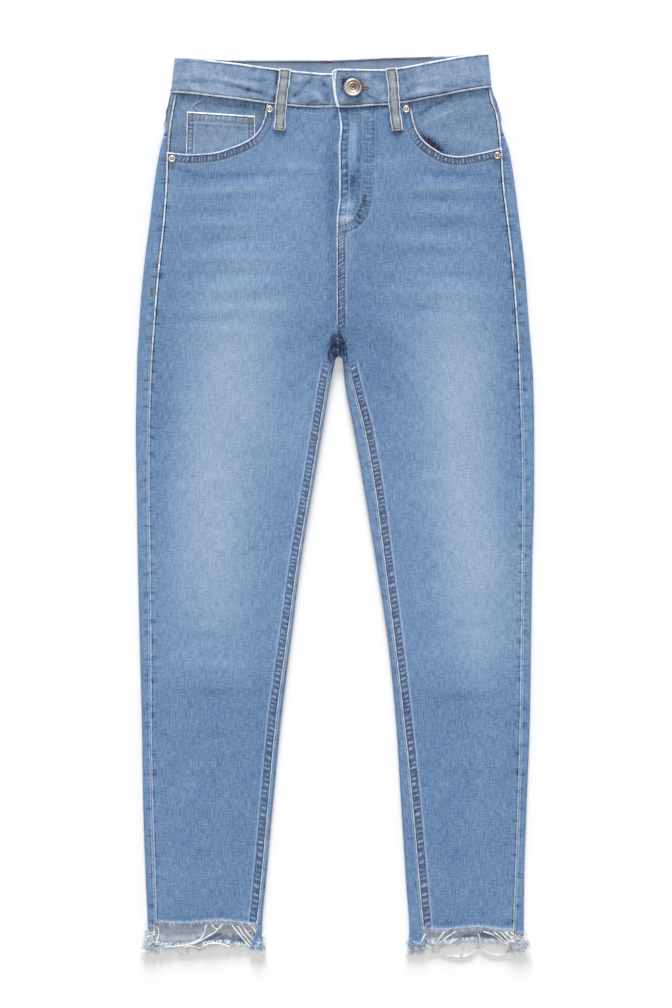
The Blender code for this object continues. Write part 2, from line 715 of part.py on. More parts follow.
def make_rivets(look):
    """A rivet at each end of both pocket mouths: a raised ring round a small nipple."""
    r, h = RIVET_WIDTH / 2, RIVET_HEIGHT
    profile = [(0, 0), (r, 0), (r, h * 0.4), (r * 0.8, h * 0.85), (r * 0.55, h * 0.8),
               (r * 0.4, h * 0.45), (r * 0.2, h * 0.6), (0, h)]
    places = (
        ("top", "right", -73.2, 62.6), ("side", "right", -182.4, 118.0),
        ("top", "left", 79.6, 62.6), ("side", "left", 181.6, 114.6),
    )
    for end, side, x, drop in places:
        under = max(top_height(side, x + a * r, drop + b * r)
                    for a in (-1, 0, 1) for b in (-1, 0, 1))
        turned(f"rivet_{side}_{end}", profile, (x, drop, under + LAYER_GAP), look, 12)


def make_zip(look):
    """The closed zip behind the fly: two tapes, and the chain as a ridge between them."""
    head, foot, tape, ridge, under_fly = 68.0, 174.0, 0.7, 0.5, 0.5
    columns = (4.0, 10.0, 12.5, 14.0, 17.0, 18.5, 21.0, 28.0)
    rows = []
    for drop in spaced(head, foot, 16):
        row = []
        for k, x in enumerate(columns):
            z = LOFTS.at("top", drop) + under_fly - CLOTH - LAYER_GAP
            below = tape + (ridge if k in (3, 4) else 0.0)
            row.append((place(x, drop, z), place(x, drop, z - below)))
        rows.append(row)
    wall("zip", rows, look)


# ---------------------------------------------------------------- frayed hems
def make_fringe(name, line, length_at, floor, look, seed):
    """A narrow strip with threads drawn out of its lower edge. line holds (x, drop, z) points,
    and every second cell between two of them grows a thread."""
    rng = random.Random(seed)
    strip, thick, long_thread = 1.6, 0.8, 9.0
    bm = bmesh.new()
    corners = [[bm.verts.new(place(x, drop + d, z - h)) for d, h in
                ((0, 0), (0, thick), (strip, thick), (strip, 0))] for x, drop, z in line]
    ends = []
    for a, b in zip(corners, corners[1:]):
        faces = [bm.faces.new((a[k], a[(k + 1) % 4], b[(k + 1) % 4], b[k])) for k in range(4)]
        ends.append(faces[2])
    bm.faces.new(corners[0])
    bm.faces.new(corners[-1][::-1])
    for number in range(1, len(ends), 2):
        face = ends[number]
        length = length_at((number + 0.5) / len(ends), rng)
        steps = 3 if length > long_thread else 1
        lean = rng.uniform(-0.12, 0.12)
        fall = face.calc_center_median().z / MM - thick * 0.3 - floor
        for step in range(steps):
            face = bmesh.ops.extrude_discrete_faces(bm, faces=[face])["faces"][0]
            move = Vector((lean * length, -length, -fall)) / steps * MM
            bmesh.ops.translate(bm, verts=face.verts, vec=move)
            middle = face.calc_center_median()
            shrink = 0.45 if step == 0 else 0.85
            bmesh.ops.scale(bm, verts=face.verts, vec=(shrink, 1, 0.6 if step == 0 else 1),
                            space=Matrix.Translation(-middle))
    return add_object(name, bm, look, smooth=False)


def between(points, x):
    """The drop at x on a line of (x, drop) points."""
    points = sorted(points)
    for (a, low), (b, high) in zip(points, points[1:]):
        if x <= b:
            break
    return lerp(low, high, (x - a) / (b - a))


def make_fringes(look):
    cells, inset, clear = 41, 2.5, 0.55
    for side in SIDE:
        shares = front_columns(side)
        hem = [FRONT_HEM[side] + hem_wave(side, share) for share in shares]
        front_line = [(lerp(*front_sides(side, drop), share), drop)
                      for share, drop in zip(shares, hem)]
        flat = slice(ARC_STEPS + STRIP_STEPS, -ARC_STEPS - STRIP_STEPS)
        row = tube_row(side, BACK_HEM[side])[flat]
        back_line = [(outer[0], drop) for (outer, _), drop in zip(row, back_hem(side)[flat])]
        front, back = [], []
        for share in (k / cells for k in range(cells + 1)):
            ends = front_line[0][0] - SIDE[side] * inset, front_line[-1][0] + SIDE[side] * inset
            x = lerp(*ends, share)
            drop = between(front_line, x)
            front.append((x, drop + clear, top_height(side, x, drop) - 0.15))
            x = lerp(back_line[0][0], back_line[-1][0], share)
            back.append((x, between(back_line, x) + clear, CLOTH))

        def front_length(share, rng, longer=(0.25, 0.62) if side == "right" else (0.33, 0.72)):
            is_long = min(abs(share - at) for at in longer) < 0.02
            return 17.0 if is_long else rng.uniform(3.5, 6.5)

        def back_length(share, rng):
            return 15.5 if min(abs(share - at) for at in (0.21, 0.56)) < 0.02 else rng.uniform(4, 8)

        make_fringe(f"hem_fray_front_{side}", front, front_length, 1.6, look, side)
        make_fringe(f"hem_fray_back_{side}", back, back_length, 0.1, look, side)


def main():
    for old in list(bpy.data.objects):
        bpy.data.objects.remove(old)
    denim = material("denim", (0.19, 0.31, 0.50))
    thread = material("frayed_thread", (0.80, 0.80, 0.78))
    brass = material("antique_brass", (0.50, 0.43, 0.29), 0.35, 1.0)
    copper = material("rivet_copper", (0.62, 0.46, 0.32), 0.35, 1.0)
    tape = material("zip_tape", (0.12, 0.17, 0.28))
    for side in SIDE:
        make_front(side, denim)
        make_facing(side, denim)
        make_yoke(side, denim)
        make_back(side, denim)
        make_back_pocket(side, denim)
    make_coin_pocket(denim)
    make_waistband(denim)
    make_loops(denim)
    make_button(brass)
    make_rivets(copper)
    make_zip(tape)
    make_fringes(thread)


main()
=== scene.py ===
import math
import random
from functools import partial

import bmesh
import bpy
import numpy as np
from mathutils import Matrix, Vector
from mathutils.kdtree import KDTree


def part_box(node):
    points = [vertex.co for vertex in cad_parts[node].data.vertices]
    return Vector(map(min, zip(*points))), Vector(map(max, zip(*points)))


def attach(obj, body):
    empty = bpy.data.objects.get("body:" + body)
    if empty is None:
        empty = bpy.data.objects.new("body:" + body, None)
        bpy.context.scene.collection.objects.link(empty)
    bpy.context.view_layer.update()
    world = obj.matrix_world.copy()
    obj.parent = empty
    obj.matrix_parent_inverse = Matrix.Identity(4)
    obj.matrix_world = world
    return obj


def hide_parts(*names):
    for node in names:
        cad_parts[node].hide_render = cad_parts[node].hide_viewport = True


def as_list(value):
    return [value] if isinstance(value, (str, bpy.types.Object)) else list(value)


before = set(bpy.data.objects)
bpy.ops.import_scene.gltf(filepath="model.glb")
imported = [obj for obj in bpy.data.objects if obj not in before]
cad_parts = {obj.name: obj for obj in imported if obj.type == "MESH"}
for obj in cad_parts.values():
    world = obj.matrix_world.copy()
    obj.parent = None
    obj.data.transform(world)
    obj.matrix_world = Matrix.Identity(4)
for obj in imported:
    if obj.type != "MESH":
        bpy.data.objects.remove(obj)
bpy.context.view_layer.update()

# Skinny jeans laid flat on their back, in millimetres until a mesh is made. A drop is measured
# down the garment from the top of its waist, and the wearer's right leg lies on the -x side.
mm = 0.001
length = 1016.0
sides = {"right": -1, "left": 1}
cloth = 1.1              # one layer of stretch denim
seamGap = 0.35           # between pieces sewn edge to edge
layerGap = 0.3           # between a piece and the one it lies on
centreFront, centreBack = 1.5, 4.4
crotchDrop, legDrop = 311.0, 365.0
pocketBand, fellBand = 10.5, 10.0
loopEnds = {
    "frontRight": ((-56, 17), (-62.6, 86)), "frontLeft": ((62.6, 16.4), (69.6, 86.4)),
    "sideRight": ((-170, 7), (-186, 78)), "sideLeft": ((158.6, 3.5), (180.4, 71)),
    "back": ((-8.6, 7.5), (-8.6, 82)),
}
frontHem = {"right": 974.0, "left": 981.0}
backHem = {"right": 997.0, "left": 994.0}


def lerp(a, b, share):
    return a + (b - a) * share


def ease(value):
    value = np.clip(value, 0.0, 1.0)
    return value * value * (3 - 2 * value)


def bell(value, middle, width):
    return np.exp(-((value - middle) / width) ** 2)


def smoothCurve(keys, values):
    # through every point without overshooting, sampled finely
    keys, values = np.array(keys, float), np.array(values, float)
    steps = np.diff(values) / np.diff(keys)
    slopes = np.zeros(len(keys))
    for k in range(1, len(keys) - 1):
        before, after = steps[k - 1], steps[k]
        if before * after > 0:
            slopes[k] = 2 * before * after / (before + after)
    fine = np.linspace(keys[0], keys[-1], 1600)
    k = np.clip(np.searchsorted(keys, fine, side="right") - 1, 0, len(keys) - 2)
    span = keys[k + 1] - keys[k]
    t = (fine - keys[k]) / span
    curve = (1 + 2 * t) * (1 - t) ** 2 * values[k] + t * t * (3 - 2 * t) * values[k + 1]
    curve += t * (1 - t) ** 2 * span * slopes[k] + t * t * (t - 1) * span * slopes[k + 1]
    return lambda key: np.interp(key, fine, curve)


def addObject(name, data):
    made = bpy.data.objects.new(name, data)
    bpy.context.scene.collection.objects.link(made)
    return made


def meshFrom(bm, name):
    mesh = bpy.data.meshes.new(name)
    bm.to_mesh(mesh)
    bm.free()
    return mesh


def readTable(columns, rows):
    keys = [row[0] for row in rows]
    return {name: smoothCurve(keys, [row[k] for row in rows])
            for k, name in enumerate(columns) if k}


def ripple(along, pitch, seed):
    # an uneven wave of about this pitch, between -1 and 1
    rng = random.Random(seed)
    total = 0.0
    for share in (0.71, 1.0, 1.37, 1.83):
        total = total + np.sin(along * math.tau / pitch * share + rng.uniform(0, math.tau))
    return total / 2.6


# the folds are the outline seen from above; the seams are where front and back meet on top
legColumns = ("drop", "foldOut", "seamOut", "seamIn", "foldIn")


def legTable(hips, below):
    # down the hips every piece ends at the centre seam, in front or behind
    return readTable(legColumns, (*(row + (centreFront, centreBack) for row in hips), *below))


legs = {
    "right": legTable((
        (44, -183.5, -180.3), (65, -186.5, -183.6), (83, -189.5, -186.4), (108, -196, -188.4),
        (141, -201.5, -189.5), (186, -207, -192.5), (231, -212.8, -197.3), (276, -217.3, -201.5)), (
        (300, -218.9, -203.4, 1.6, 4.4), (311, -219.5, -204.1, 4.2, 4.4),
        (318, -220, -204.7, 0.8, 4.4), (326, -220.5, -205.3, -1.6, 4.2),
        (340, -221.4, -206.3, -3.2, 1.6), (365, -221.9, -207.6, -7.4, -4.4),
        (421, -222.9, -209, -16.4, -14), (488, -221.9, -209.3, -27.4, -25.2),
        (567, -220.6, -208.2, -40.6, -38.1), (656, -218.5, -207.3, -52.8, -49.3),
        (746, -216.2, -206.9, -65, -60.5), (836, -214.8, -205.3, -73.4, -69.2),
        (925, -211.7, -202.4, -81.4, -77.3), (976, -209.6, -201.2, -87, -81.6),
        (1004, -213.5, -203.5, -95, -80.8))),
    "left": legTable((
        (36, 176, 174.4), (52, 178.6, 176.8), (65, 183.6, 181.8), (83, 186.8, 184.8),
        (108, 194.8, 187.2), (141, 200.5, 189), (186, 206.1, 194.2), (231, 211.7, 199.4),
        (276, 215.2, 203.2)), (
        (300, 216.9, 204.9, 1.6, 4.4),
        (311, 217.8, 205.7, 4.6, 4.4), (318, 218.5, 206.2, 7.4, 4.4),
        (326, 219.2, 206.6, 10.2, 4.8), (340, 220.3, 207.3, 12.6, 8.6),
        (365, 221.9, 208.2, 18, 10.8), (421, 222.9, 210.2, 32.3, 21.3),
        (488, 222.8, 211.4, 44.2, 33), (567, 220.7, 210.8, 54.4, 45.9),
        (656, 219.5, 209.7, 65.8, 59.2), (746, 218, 208.5, 76.3, 68.3),
        (836, 214.6, 206.2, 85.4, 73.9), (925, 211.7, 203.2, 93.3, 79.5),
        (982, 211.2, 201.2, 98.3, 83.3), (1004, 214.3, 202.6, 101, 81))),
}
# height of the front's upper face, and of the back's lower face, over the table
loft = readTable(("drop", "top", "rest"), (
    (30, 7.2, 1.9), (100, 7.2, 1.9), (140, 7.2, 1.4), (290, 6.8, 1.4), (350, 5.8, 0),
    (480, 5.4, 0), (700, 5.2, 0), (925, 4.9, 0), (1004, 4.6, 0)))
# upper edge and height of the waistband: each half of the front, and the back behind them
bandColumns = ("x", "drop", "height")
bands = {
    "right": readTable(bandColumns, (
        (-178, 4.8, 39), (-124, 9.3, 40), (-63, 17.4, 40), (-24, 21.4, 39), (-8, 22.4, 37.5),
        (36, 22.4, 37))),
    "left": readTable(bandColumns, (
        (-4, 17.4, 43), (10, 17.4, 43), (54, 18, 40), (70, 16.2, 40), (112, 8.4, 40),
        (150, 1.8, 39), (171, 0, 38))),
    "back": readTable(bandColumns, (
        (-178, 4.8, 39), (-110, 7.3, 40), (-10, 7.2, 40), (55, 4.6, 40), (138, 1.9, 39),
        (171, 0, 38))),
}
# mouth of a front pocket, by its distance from the centre, as a negative number
mouths = {
    "right": readTable(("x", "drop"), (
        (-192, 110.4), (-163, 112.8), (-139, 111.4), (-111, 103.2), (-93, 94), (-84, 84),
        (-78.5, 71.5), (-76, 56))),
    "left": readTable(("x", "drop"), (
        (-192, 105.6), (-163, 111.2), (-139, 115), (-124, 113.2), (-110, 105.8), (-99, 97),
        (-91, 85), (-86.5, 70), (-85, 56))),
}
mouthEnd = {"right": 76.0, "left": 85.0}
mouthFoot = 138          # below both mouths

# creases in the front: centre, half length, half width, slope, height, and how much paler each is, partly
# worn whiskers and partly painted shade and highlight along the fold
creaseColumns = ("x", "drop", "along", "across", "slope", "height", "pale")
broadFolds = (
    (-92, 150, 62, 10, 0.1, 0.6, 0), (-100, 184, 74, 12, 0.12, 0.7, 0), (-110, 222, 72, 13, 0.16, 0.6, 0),
    (-96, 262, 78, 14, 0.2, 0.5, 0), (106, 146, 60, 10, -0.1, 0.6, 0), (116, 178, 64, 12, -0.12, 0.7, 0),
    (110, 218, 76, 13, -0.16, 0.6, 0), (100, 256, 80, 14, -0.22, 0.5, 0), (-60, 318, 44, 14, 0.55, 0.5, 0),
    (66, 316, 44, 14, -0.55, 0.5, 0), (-150, 470, 16, 60, 0, 0.5, 0), (-112, 700, 60, 22, 0.1, 0.5, 0),
    (150, 520, 18, 64, 0, 0.5, 0), (132, 715, 58, 22, -0.1, 0.5, 0),
)
frontCreases = broadFolds + (
    # pale and dark whiskers across the right hip
    (-108, 137, 88, 6, 0.03, -0.3, -0.06), (-124, 154, 72, 6, 0.01, 0.36, 0.06),
    (-40, 126, 34, 7, -0.05, 0.2, 0.045), (-116, 177, 80, 6, 0, -0.3, -0.04),
    (-120, 191, 76, 5, 0, 0.3, 0.038), (-128, 209, 66, 6, 0.03, -0.22, -0.03),
    (-110, 228, 84, 7, 0, 0.3, 0.045), (-112, 246, 80, 6, 0.01, -0.24, -0.028),
    (-138, 262, 50, 6, -0.02, 0.22, 0.02), (-76, 271, 44, 5, 0.03, -0.16, -0.016),
    (-104, 285, 84, 7, 0.02, 0.26, 0.034), (-132, 297, 62, 6, 0.04, -0.26, -0.036),
    (-120, 310, 70, 6, -0.02, 0.2, 0.02), (-66, 305, 36, 6, 0.1, -0.18, -0.02),
    (-168, 132, 22, 5, -0.3, -0.35, -0.06), (-96, 340, 58, 8, 0.16, 0.22, 0.012),
    # the same on the left hip, a little nearer the waist
    (128, 136, 52, 6, -0.02, -0.3, -0.055), (118, 151, 62, 6, 0, 0.36, 0.062),
    (62, 122, 30, 7, 0.12, 0.22, 0.046), (110, 164, 70, 5, 0, -0.28, -0.032),
    (112, 179, 62, 5, 0.02, 0.22, 0.026), (118, 193, 70, 6, 0, -0.2, -0.022),
    (104, 208, 72, 7, -0.01, 0.28, 0.04), (120, 221, 66, 6, 0, -0.18, -0.02),
    (132, 233, 58, 6, 0.03, 0.2, 0.02), (122, 248, 68, 6, 0, -0.2, -0.028),
    (112, 266, 80, 8, -0.02, 0.28, 0.04), (96, 285, 66, 6, -0.06, -0.2, -0.024),
    (142, 300, 56, 7, 0.02, 0.18, 0.014), (72, 300, 36, 6, -0.2, 0.22, 0.022),
    # upright folds over the fly
    (21, 96, 6, 40, 0, 0.35, 0.13), (12, 100, 4.6, 50, 0, -0.3, -0.06), (20, 144, 10, 22, 0, -0.35, -0.11),
    (13, 170, 10, 6, 0, 0.2, 0.19), (11, 186, 11, 8, 0, 0.2, 0.26), (26, 180, 5, 20, 0, -0.2, -0.08),
    (27.5, 110, 4, 44, 0, -0.25, -0.1), (6, 206, 6, 14, 0, 0.1, 0.16), (44, 96, 5, 44, 0, -0.2, -0.06),
    (17, 214, 5, 60, 0, 0.1, 0.06), (47, 150, 4, 34, 0, 0.25, 0.03), (-13, 210, 5, 70, 0, 0.2, 0.02),
    (0.8, 69, 3, 7, 0, -0.2, -0.1), (17, 64, 14, 3, 0.1, -0.2, -0.06), (34, 68, 14, 4, -0.1, 0.2, 0.06),
    # pale and dark folds right over the crotch
    (3, 322, 3, 20, -0.02, 0.1, 0.16), (8.5, 326, 2.2, 14, 0.1, 0.1, 0.11),
    (-3, 330, 2, 12, 0.1, 0.1, 0.08),
    # drag lines at the crotch and down the inner thighs
    (-24, 318, 26, 5, 0.8, -0.3, -0.02), (-34, 340, 30, 6, 0.62, 0.3, 0.016),
    (-50, 372, 34, 7, 0.42, -0.22, -0.016), (34, 322, 26, 5, -0.86, -0.3, -0.02),
    (46, 344, 30, 6, -0.64, 0.28, 0.016), (62, 380, 34, 7, -0.44, -0.22, -0.016),
    # thighs, knees and shins
    (-176, 402, 30, 8, -0.1, -0.22, -0.014), (-92, 452, 34, 9, 0.12, -0.2, -0.016),
    (-170, 486, 34, 9, 0.06, 0.22, 0.012), (-104, 506, 36, 8, 0.05, 0.22, 0.014),
    (-176, 566, 30, 8, 0.1, 0.2, 0.014), (-96, 560, 34, 9, 0.16, -0.22, -0.016),
    (-170, 612, 34, 8, -0.06, -0.2, -0.014), (-100, 622, 32, 8, 0.12, 0.24, 0.016),
    (-138, 655, 48, 9, 0.04, -0.26, -0.018), (-128, 684, 52, 9, -0.03, 0.26, 0.014),
    (-140, 716, 46, 8, 0.05, -0.3, -0.024), (-152, 752, 40, 9, 0.02, 0.2, 0.01),
    (-124, 790, 36, 9, 0.1, -0.2, -0.012), (-158, 834, 34, 8, -0.06, 0.18, 0.01),
    (-128, 872, 34, 9, 0.08, -0.18, -0.01), (-150, 920, 38, 8, 0, 0.18, 0.01),
    (172, 388, 34, 8, -0.12, 0.22, 0.012), (96, 458, 34, 9, -0.14, -0.22, -0.018),
    (110, 500, 32, 8, -0.08, 0.22, 0.016), (180, 512, 28, 8, 0.08, -0.2, -0.012),
    (108, 550, 32, 9, -0.12, -0.22, -0.018), (182, 578, 30, 8, -0.05, 0.2, 0.012),
    (118, 602, 34, 8, -0.1, 0.2, 0.012), (146, 640, 44, 9, 0.03, -0.22, -0.014),
    (134, 676, 48, 9, -0.05, 0.24, 0.014), (146, 722, 46, 8, 0.02, -0.3, -0.024),
    (160, 760, 40, 9, -0.06, 0.2, 0.01), (134, 802, 34, 9, -0.08, -0.2, -0.012),
    (164, 856, 34, 8, 0.04, 0.18, 0.01), (138, 905, 36, 9, -0.06, -0.18, -0.01),
)
# the same kind of creases under the seat and down the backs of the legs
backCreases = (
    (-96, 300, 60, 9, 0.24, 0.5, 0.03), (-112, 326, 66, 8, 0.18, 0.3, -0.02),
    (100, 296, 60, 9, -0.22, 0.5, 0.03), (116, 322, 66, 8, -0.16, 0.3, -0.02),
    (-120, 372, 58, 9, 0.08, 0.4, 0.018), (122, 368, 58, 9, -0.06, 0.4, 0.018),
    (-130, 452, 44, 9, -0.05, 0.3, -0.014), (138, 470, 46, 9, 0.04, 0.3, -0.014),
    (-136, 600, 46, 8, 0.12, 0.5, 0.03), (-128, 628, 52, 8, 0.06, 0.4, -0.024),
    (-140, 655, 50, 8, -0.04, 0.5, 0.03), (-134, 684, 46, 8, -0.1, 0.4, -0.022),
    (140, 606, 48, 8, -0.1, 0.5, 0.03), (134, 634, 50, 8, -0.03, 0.4, -0.024),
    (146, 662, 48, 8, 0.06, 0.5, 0.03), (138, 692, 44, 8, 0.1, 0.4, -0.022),
    (-150, 800, 34, 9, 0.05, 0.3, 0.012), (150, 812, 34, 9, -0.04, 0.3, 0.012),
    (-146, 900, 36, 9, -0.06, 0.3, -0.012), (152, 892, 36, 9, 0.06, 0.3, -0.012),
)
# soft patches: centre, half width, half length, lean, and how much paler the denim is there; in front, a few
# darker ones are painted shade beside the fly's edge and over the crotch
patchColumns = ("x", "drop", "across", "along", "lean", "pale")
frontFadesAndShade = (
    (-126, 385, 46, 125, -0.06, 0.2), (-137, 560, 42, 108, 0.03, 0.18), (135, 385, 44, 128, 0.03, 0.185),
    (153, 565, 42, 112, 0.07, 0.195), (-92, 262, 62, 84, 0, 0.075), (-64, 150, 60, 62, 0, 0.07),
    (112, 285, 70, 64, 0, 0.03), (92, 150, 50, 40, 0, 0.02), (-36, 330, 30, 70, -0.2, -0.03),
    (44, 330, 30, 70, 0.2, -0.035), (-3, 145, 8, 58, 0, -0.11), (28, 168, 15, 30, 0, -0.04),
    (-72, 400, 32, 84, 0, 0.06), (160, 345, 40, 44, 0, 0.055), (-40, 400, 14, 60, 0, 0.04),
    (-3, 250, 6, 50, 0, -0.06), (20, 262, 10, 44, 0, -0.03), (-198, 400, 24, 150, 0, -0.05),
    (200, 350, 24, 160, 0, -0.06), (-182, 135, 14, 60, 0, 0.07), (-6, 322, 13, 22, 0, -0.07),
    (13, 322, 13, 22, 0, -0.09), (46, 330, 20, 60, 0, -0.02), (158, 660, 34, 34, 0, 0.045),
    (-176, 650, 26, 330, 0, 0.02), (176, 640, 26, 330, 0, 0.012), (-140, 740, 52, 52, 0, -0.02),
    (146, 730, 52, 52, 0, -0.012),
)
backFades = (
    (-104, 262, 70, 90, 0, 0.13), (104, 262, 70, 90, 0, 0.13), (-126, 430, 44, 110, -0.05, 0.08),
    (130, 430, 44, 110, 0.05, 0.08), (-140, 620, 48, 120, 0, 0.06), (146, 620, 48, 120, 0, 0.06),
)
# how pale plain denim is down the garment
basePale = smoothCurve((0, 150, 300, 450, 640, 760, 1000), (0.30, 0.265, 0.275, 0.285, 0.29, 0.258, 0.265))


def creased(table, x, drop, value):
    # the table's creases added up, as a height or as a paleness
    total = np.zeros(np.broadcast(x, drop).shape)
    for row in table:
        at = dict(zip(creaseColumns, row))
        along = (x - at["x"]) / at["along"]
        across = (drop - at["drop"] + (x - at["x"]) * at["slope"]) / at["across"]
        total = total + at[value] * np.exp(-2 * (along ** 2 + across ** 2))
    return total


def fadedAndShaded(table, x, drop):
    total = basePale(drop) + np.zeros(np.broadcast(x, drop).shape)
    for row in table:
        at = dict(zip(patchColumns, row))
        across = (x - at["x"] - at["lean"] * (drop - at["drop"])) / at["across"]
        along = (drop - at["drop"]) / at["along"]
        total = total + at["pale"] * np.exp(-across ** 2 - along ** 2)
    return total


def mouthDrop(side, x):
    return mouths[side]["drop"](-np.abs(x))


def bandBottom(part, x):
    x = x - 4.4 * (x / 183.4) ** 3
    return bands[part]["drop"](x) + bands[part]["height"](x)


def mouthLine(side):
    far = np.linspace(-195, -mouthEnd[side], 60)
    return list(zip(-far, mouths[side]["drop"](far)))


def flyReach(drop, across=36.0, foot=192.0, bend=34.0):
    # how far the fly's layers reach from the centre front
    curve = np.sqrt(np.clip(1 - np.clip((drop - foot + bend) / bend, 0, 1) ** 2, 0, 1))
    return np.where(drop < foot, np.maximum(fellBand, across * curve), fellBand)


def edgeRidge(distance, band):
    # a doubled edge: rounded over at its rim, sunk along both rows of stitches
    flat = ease((band - distance) / 3 + 0.5)
    rim = 0.30 * bell(distance, 0.0, 0.8)
    sunk = 0.22 * bell(distance, 2.5, 0.7) + 0.22 * bell(distance, band - 1.0, 0.8)
    return 0.5 * flat - rim - sunk


def rolledOff(toFold, radius):
    # how far the face has sunk on its way round a fold
    return radius - np.sqrt(radius ** 2 - np.clip(radius - toFold, 0, None) ** 2)


def flyRelief(x, drop):
    # the layers of the fly, the seam below it, and the pull of the stitches
    beside = x - centreFront
    layers = ease((flyReach(drop) - beside) / 5 + 0.5) * ease((crotchDrop + 19 - drop) / 20)
    edge = bell(beside, 0, 0.9) * ease((crotchDrop + 4 - drop) / 8)
    seam = bell(beside, 6.0, 2.6) * ease((drop - 200) / 12) * ease((312 - drop) / 8)
    row = beside - flyReach(drop) + 3.5
    pull = 0.16 * ripple(drop, 7.0, "fly") * bell(row, -3.5, 3.0) - 0.2 * bell(row, 0, 0.9)
    shape = 0.7 * layers - 0.35 * edge + 0.15 * ripple(drop, 6.5, "centre") * seam
    return shape + pull * ease((190 - drop) / 6)


def mouthRelief(side, x, drop):
    # the twin-stitched edge of the pocket mouth
    line = np.array(mouthLine(side))
    gaps = np.hypot(np.abs(x)[:, None] - line[:, 0], drop[:, None] - line[:, 1])
    distance, run = gaps.min(1), gaps.argmin(1) * 2.6
    pucker = 0.14 * ripple(run, 5.0, side + "mouth") * bell(distance, 5.8, 2.4)
    return edgeRidge(distance, pocketBand) + pucker


def frontHeight(side, x, drop):
    # upper face of a front over the table
    leg = legs[side]
    x, drop = np.broadcast_arrays(np.asarray(x, float), np.asarray(drop, float))
    top = loft["top"](drop)
    radius = (top - loft["rest"](drop)) / 2
    toFold = np.abs(x - leg["foldOut"](drop))
    notYet = radius * (1 - ease((drop - 340) / (legDrop - 340)))
    toInner = np.abs(leg["foldIn"](drop) - x) + notYet
    toFold = np.where(drop > crotchDrop, np.minimum(toFold, toInner), toFold)
    inside = ease(toFold / 26)
    height = top + creased(frontCreases, x, drop, "height") * inside - rolledOff(toFold, radius)
    toInseam = np.abs(x - leg["seamIn"](drop))
    fell = ease((drop - crotchDrop) / 20)
    height = height + edgeRidge(toInseam, fellBand) * fell
    pucker = ripple(drop, 5.2, side) * bell(toInseam, 6.0, 2.6)
    height = height + 0.12 * pucker * fell
    toOutseam = np.abs(x - leg["seamOut"](drop))
    height = height + 0.20 * bell(toOutseam, 1.4, 1.4) - 0.25 * bell(toOutseam, 0.0, 0.7)
    height = height + 0.14 * ripple(drop, 13.0, side + "side") * bell(toOutseam, 5.0, 4.5)
    if side == "left":
        height = height + flyRelief(x, drop)
    near = drop < mouthFoot
    if np.any(near):
        height = height.copy()
        height[near] += mouthRelief(side, x[near], drop[near])
    return height


def coverHeight(side, x, drop):
    # the plain level that whatever lies on a front is set on
    leg = legs[side]
    top = loft["top"](drop) + creased(broadFolds, x, drop, "height")
    radius = (loft["top"](drop) - loft["rest"](drop)) / 2
    toFold = np.abs(x - leg["foldOut"](drop))
    return top - rolledOff(toFold, radius)


def facingHeight(side, x, drop):
    # a hip piece lies under the front, and comes up level with it away from the mouth
    near = ease(1.35 - (mouthDrop(side, x) - drop) / 26)
    hidden = cloth + layerGap + (0.9 + layerGap if side == "right" else 0.0)
    return loft["top"](drop) - lerp(cloth + 0.5, hidden + 0.45, near)


# laying a panel: a flat grid whose corners are carried to their places on the garment
plainMarks = {"pale": 0.3, "inside": 0.6, "rope": 0, "worn": 0, "bars": 0, "tint": 1}


def layPanel(name, x, drop, z, look, thickness, up=True):
    # x, drop and z have a row for each step down the panel and a column for each across
    rows, columns = x.shape
    bm = bmesh.new()
    bmesh.ops.create_grid(bm, x_segments=columns - 1, y_segments=rows - 1, size=0.5)
    mesh = meshFrom(bm, name)
    flat = np.empty(len(mesh.vertices) * 3)
    mesh.vertices.foreach_get("co", flat)
    flat = flat.reshape(-1, 3)
    i = np.rint((flat[:, 0] + 0.5) * (columns - 1)).astype(int)
    j = np.rint((flat[:, 1] + 0.5) * (rows - 1)).astype(int)
    places = np.stack((x, length / 2 - drop, z), -1)[j, i] * mm
    mesh.vertices.foreach_set("co", places.ravel())
    mesh.update()
    if (mesh.polygons[0].normal.z > 0) != up:
        mesh.flip_normals()
    corners = np.empty(len(mesh.loops), int)
    mesh.loops.foreach_get("vertex_index", corners)
    for layer in ("weave", "seam"):
        uv = mesh.uv_layers.new(name=layer)
        uv.data.foreach_set("uv", look[layer][j, i][corners].ravel().astype(np.float32))
    for mark, plain in plainMarks.items():
        values = np.broadcast_to(look.get(mark, plain), x.shape)[j, i]
        mesh.attributes.new(mark, "FLOAT", "POINT").data.foreach_set("value", values.astype(np.float32))
    mesh.shade_smooth()
    piece = addObject(name, mesh)
    if thickness:
        thicken(piece, thickness)
    return piece


def thicken(piece, thickness):
    wall = piece.modifiers.new("cloth", "SOLIDIFY")
    wall.thickness = thickness * mm
    wall.offset = -1
    wall.material_offset = 1
    wall.material_offset_rim = 0


def closeSteps(width, step, near=(0, 1, 2, 3, 4.2, 5.6, 7.2, 9, 11, 13.5, 16.5)):
    # places across a panel, close together along both of its seams
    middle = np.linspace(near[-1], width - near[-1], max(2, round((width - 2 * near[-1]) / step)))
    return np.array(list(near) + list(middle[1:-1]) + [width - d for d in reversed(near)]) / width


def denseLine(points, step=1.0):
    points = np.array(points, float)
    along = np.concatenate(([0], np.cumsum(np.hypot(*np.diff(points, axis=0).T))))
    at = np.linspace(0, along[-1], max(2, round(along[-1] / step)))
    return np.stack([np.interp(at, along, points[:, k]) for k in (0, 1)], 1), at


def seamAt(distance, run, worn=0.0, rope=0.0, bars=0.0, tint=1.0):
    # a seam, by how far beside it and along it each place lies, and how it wore
    return {"distance": distance, "run": run, "worn": worn, "rope": rope, "bars": bars, "tint": tint}


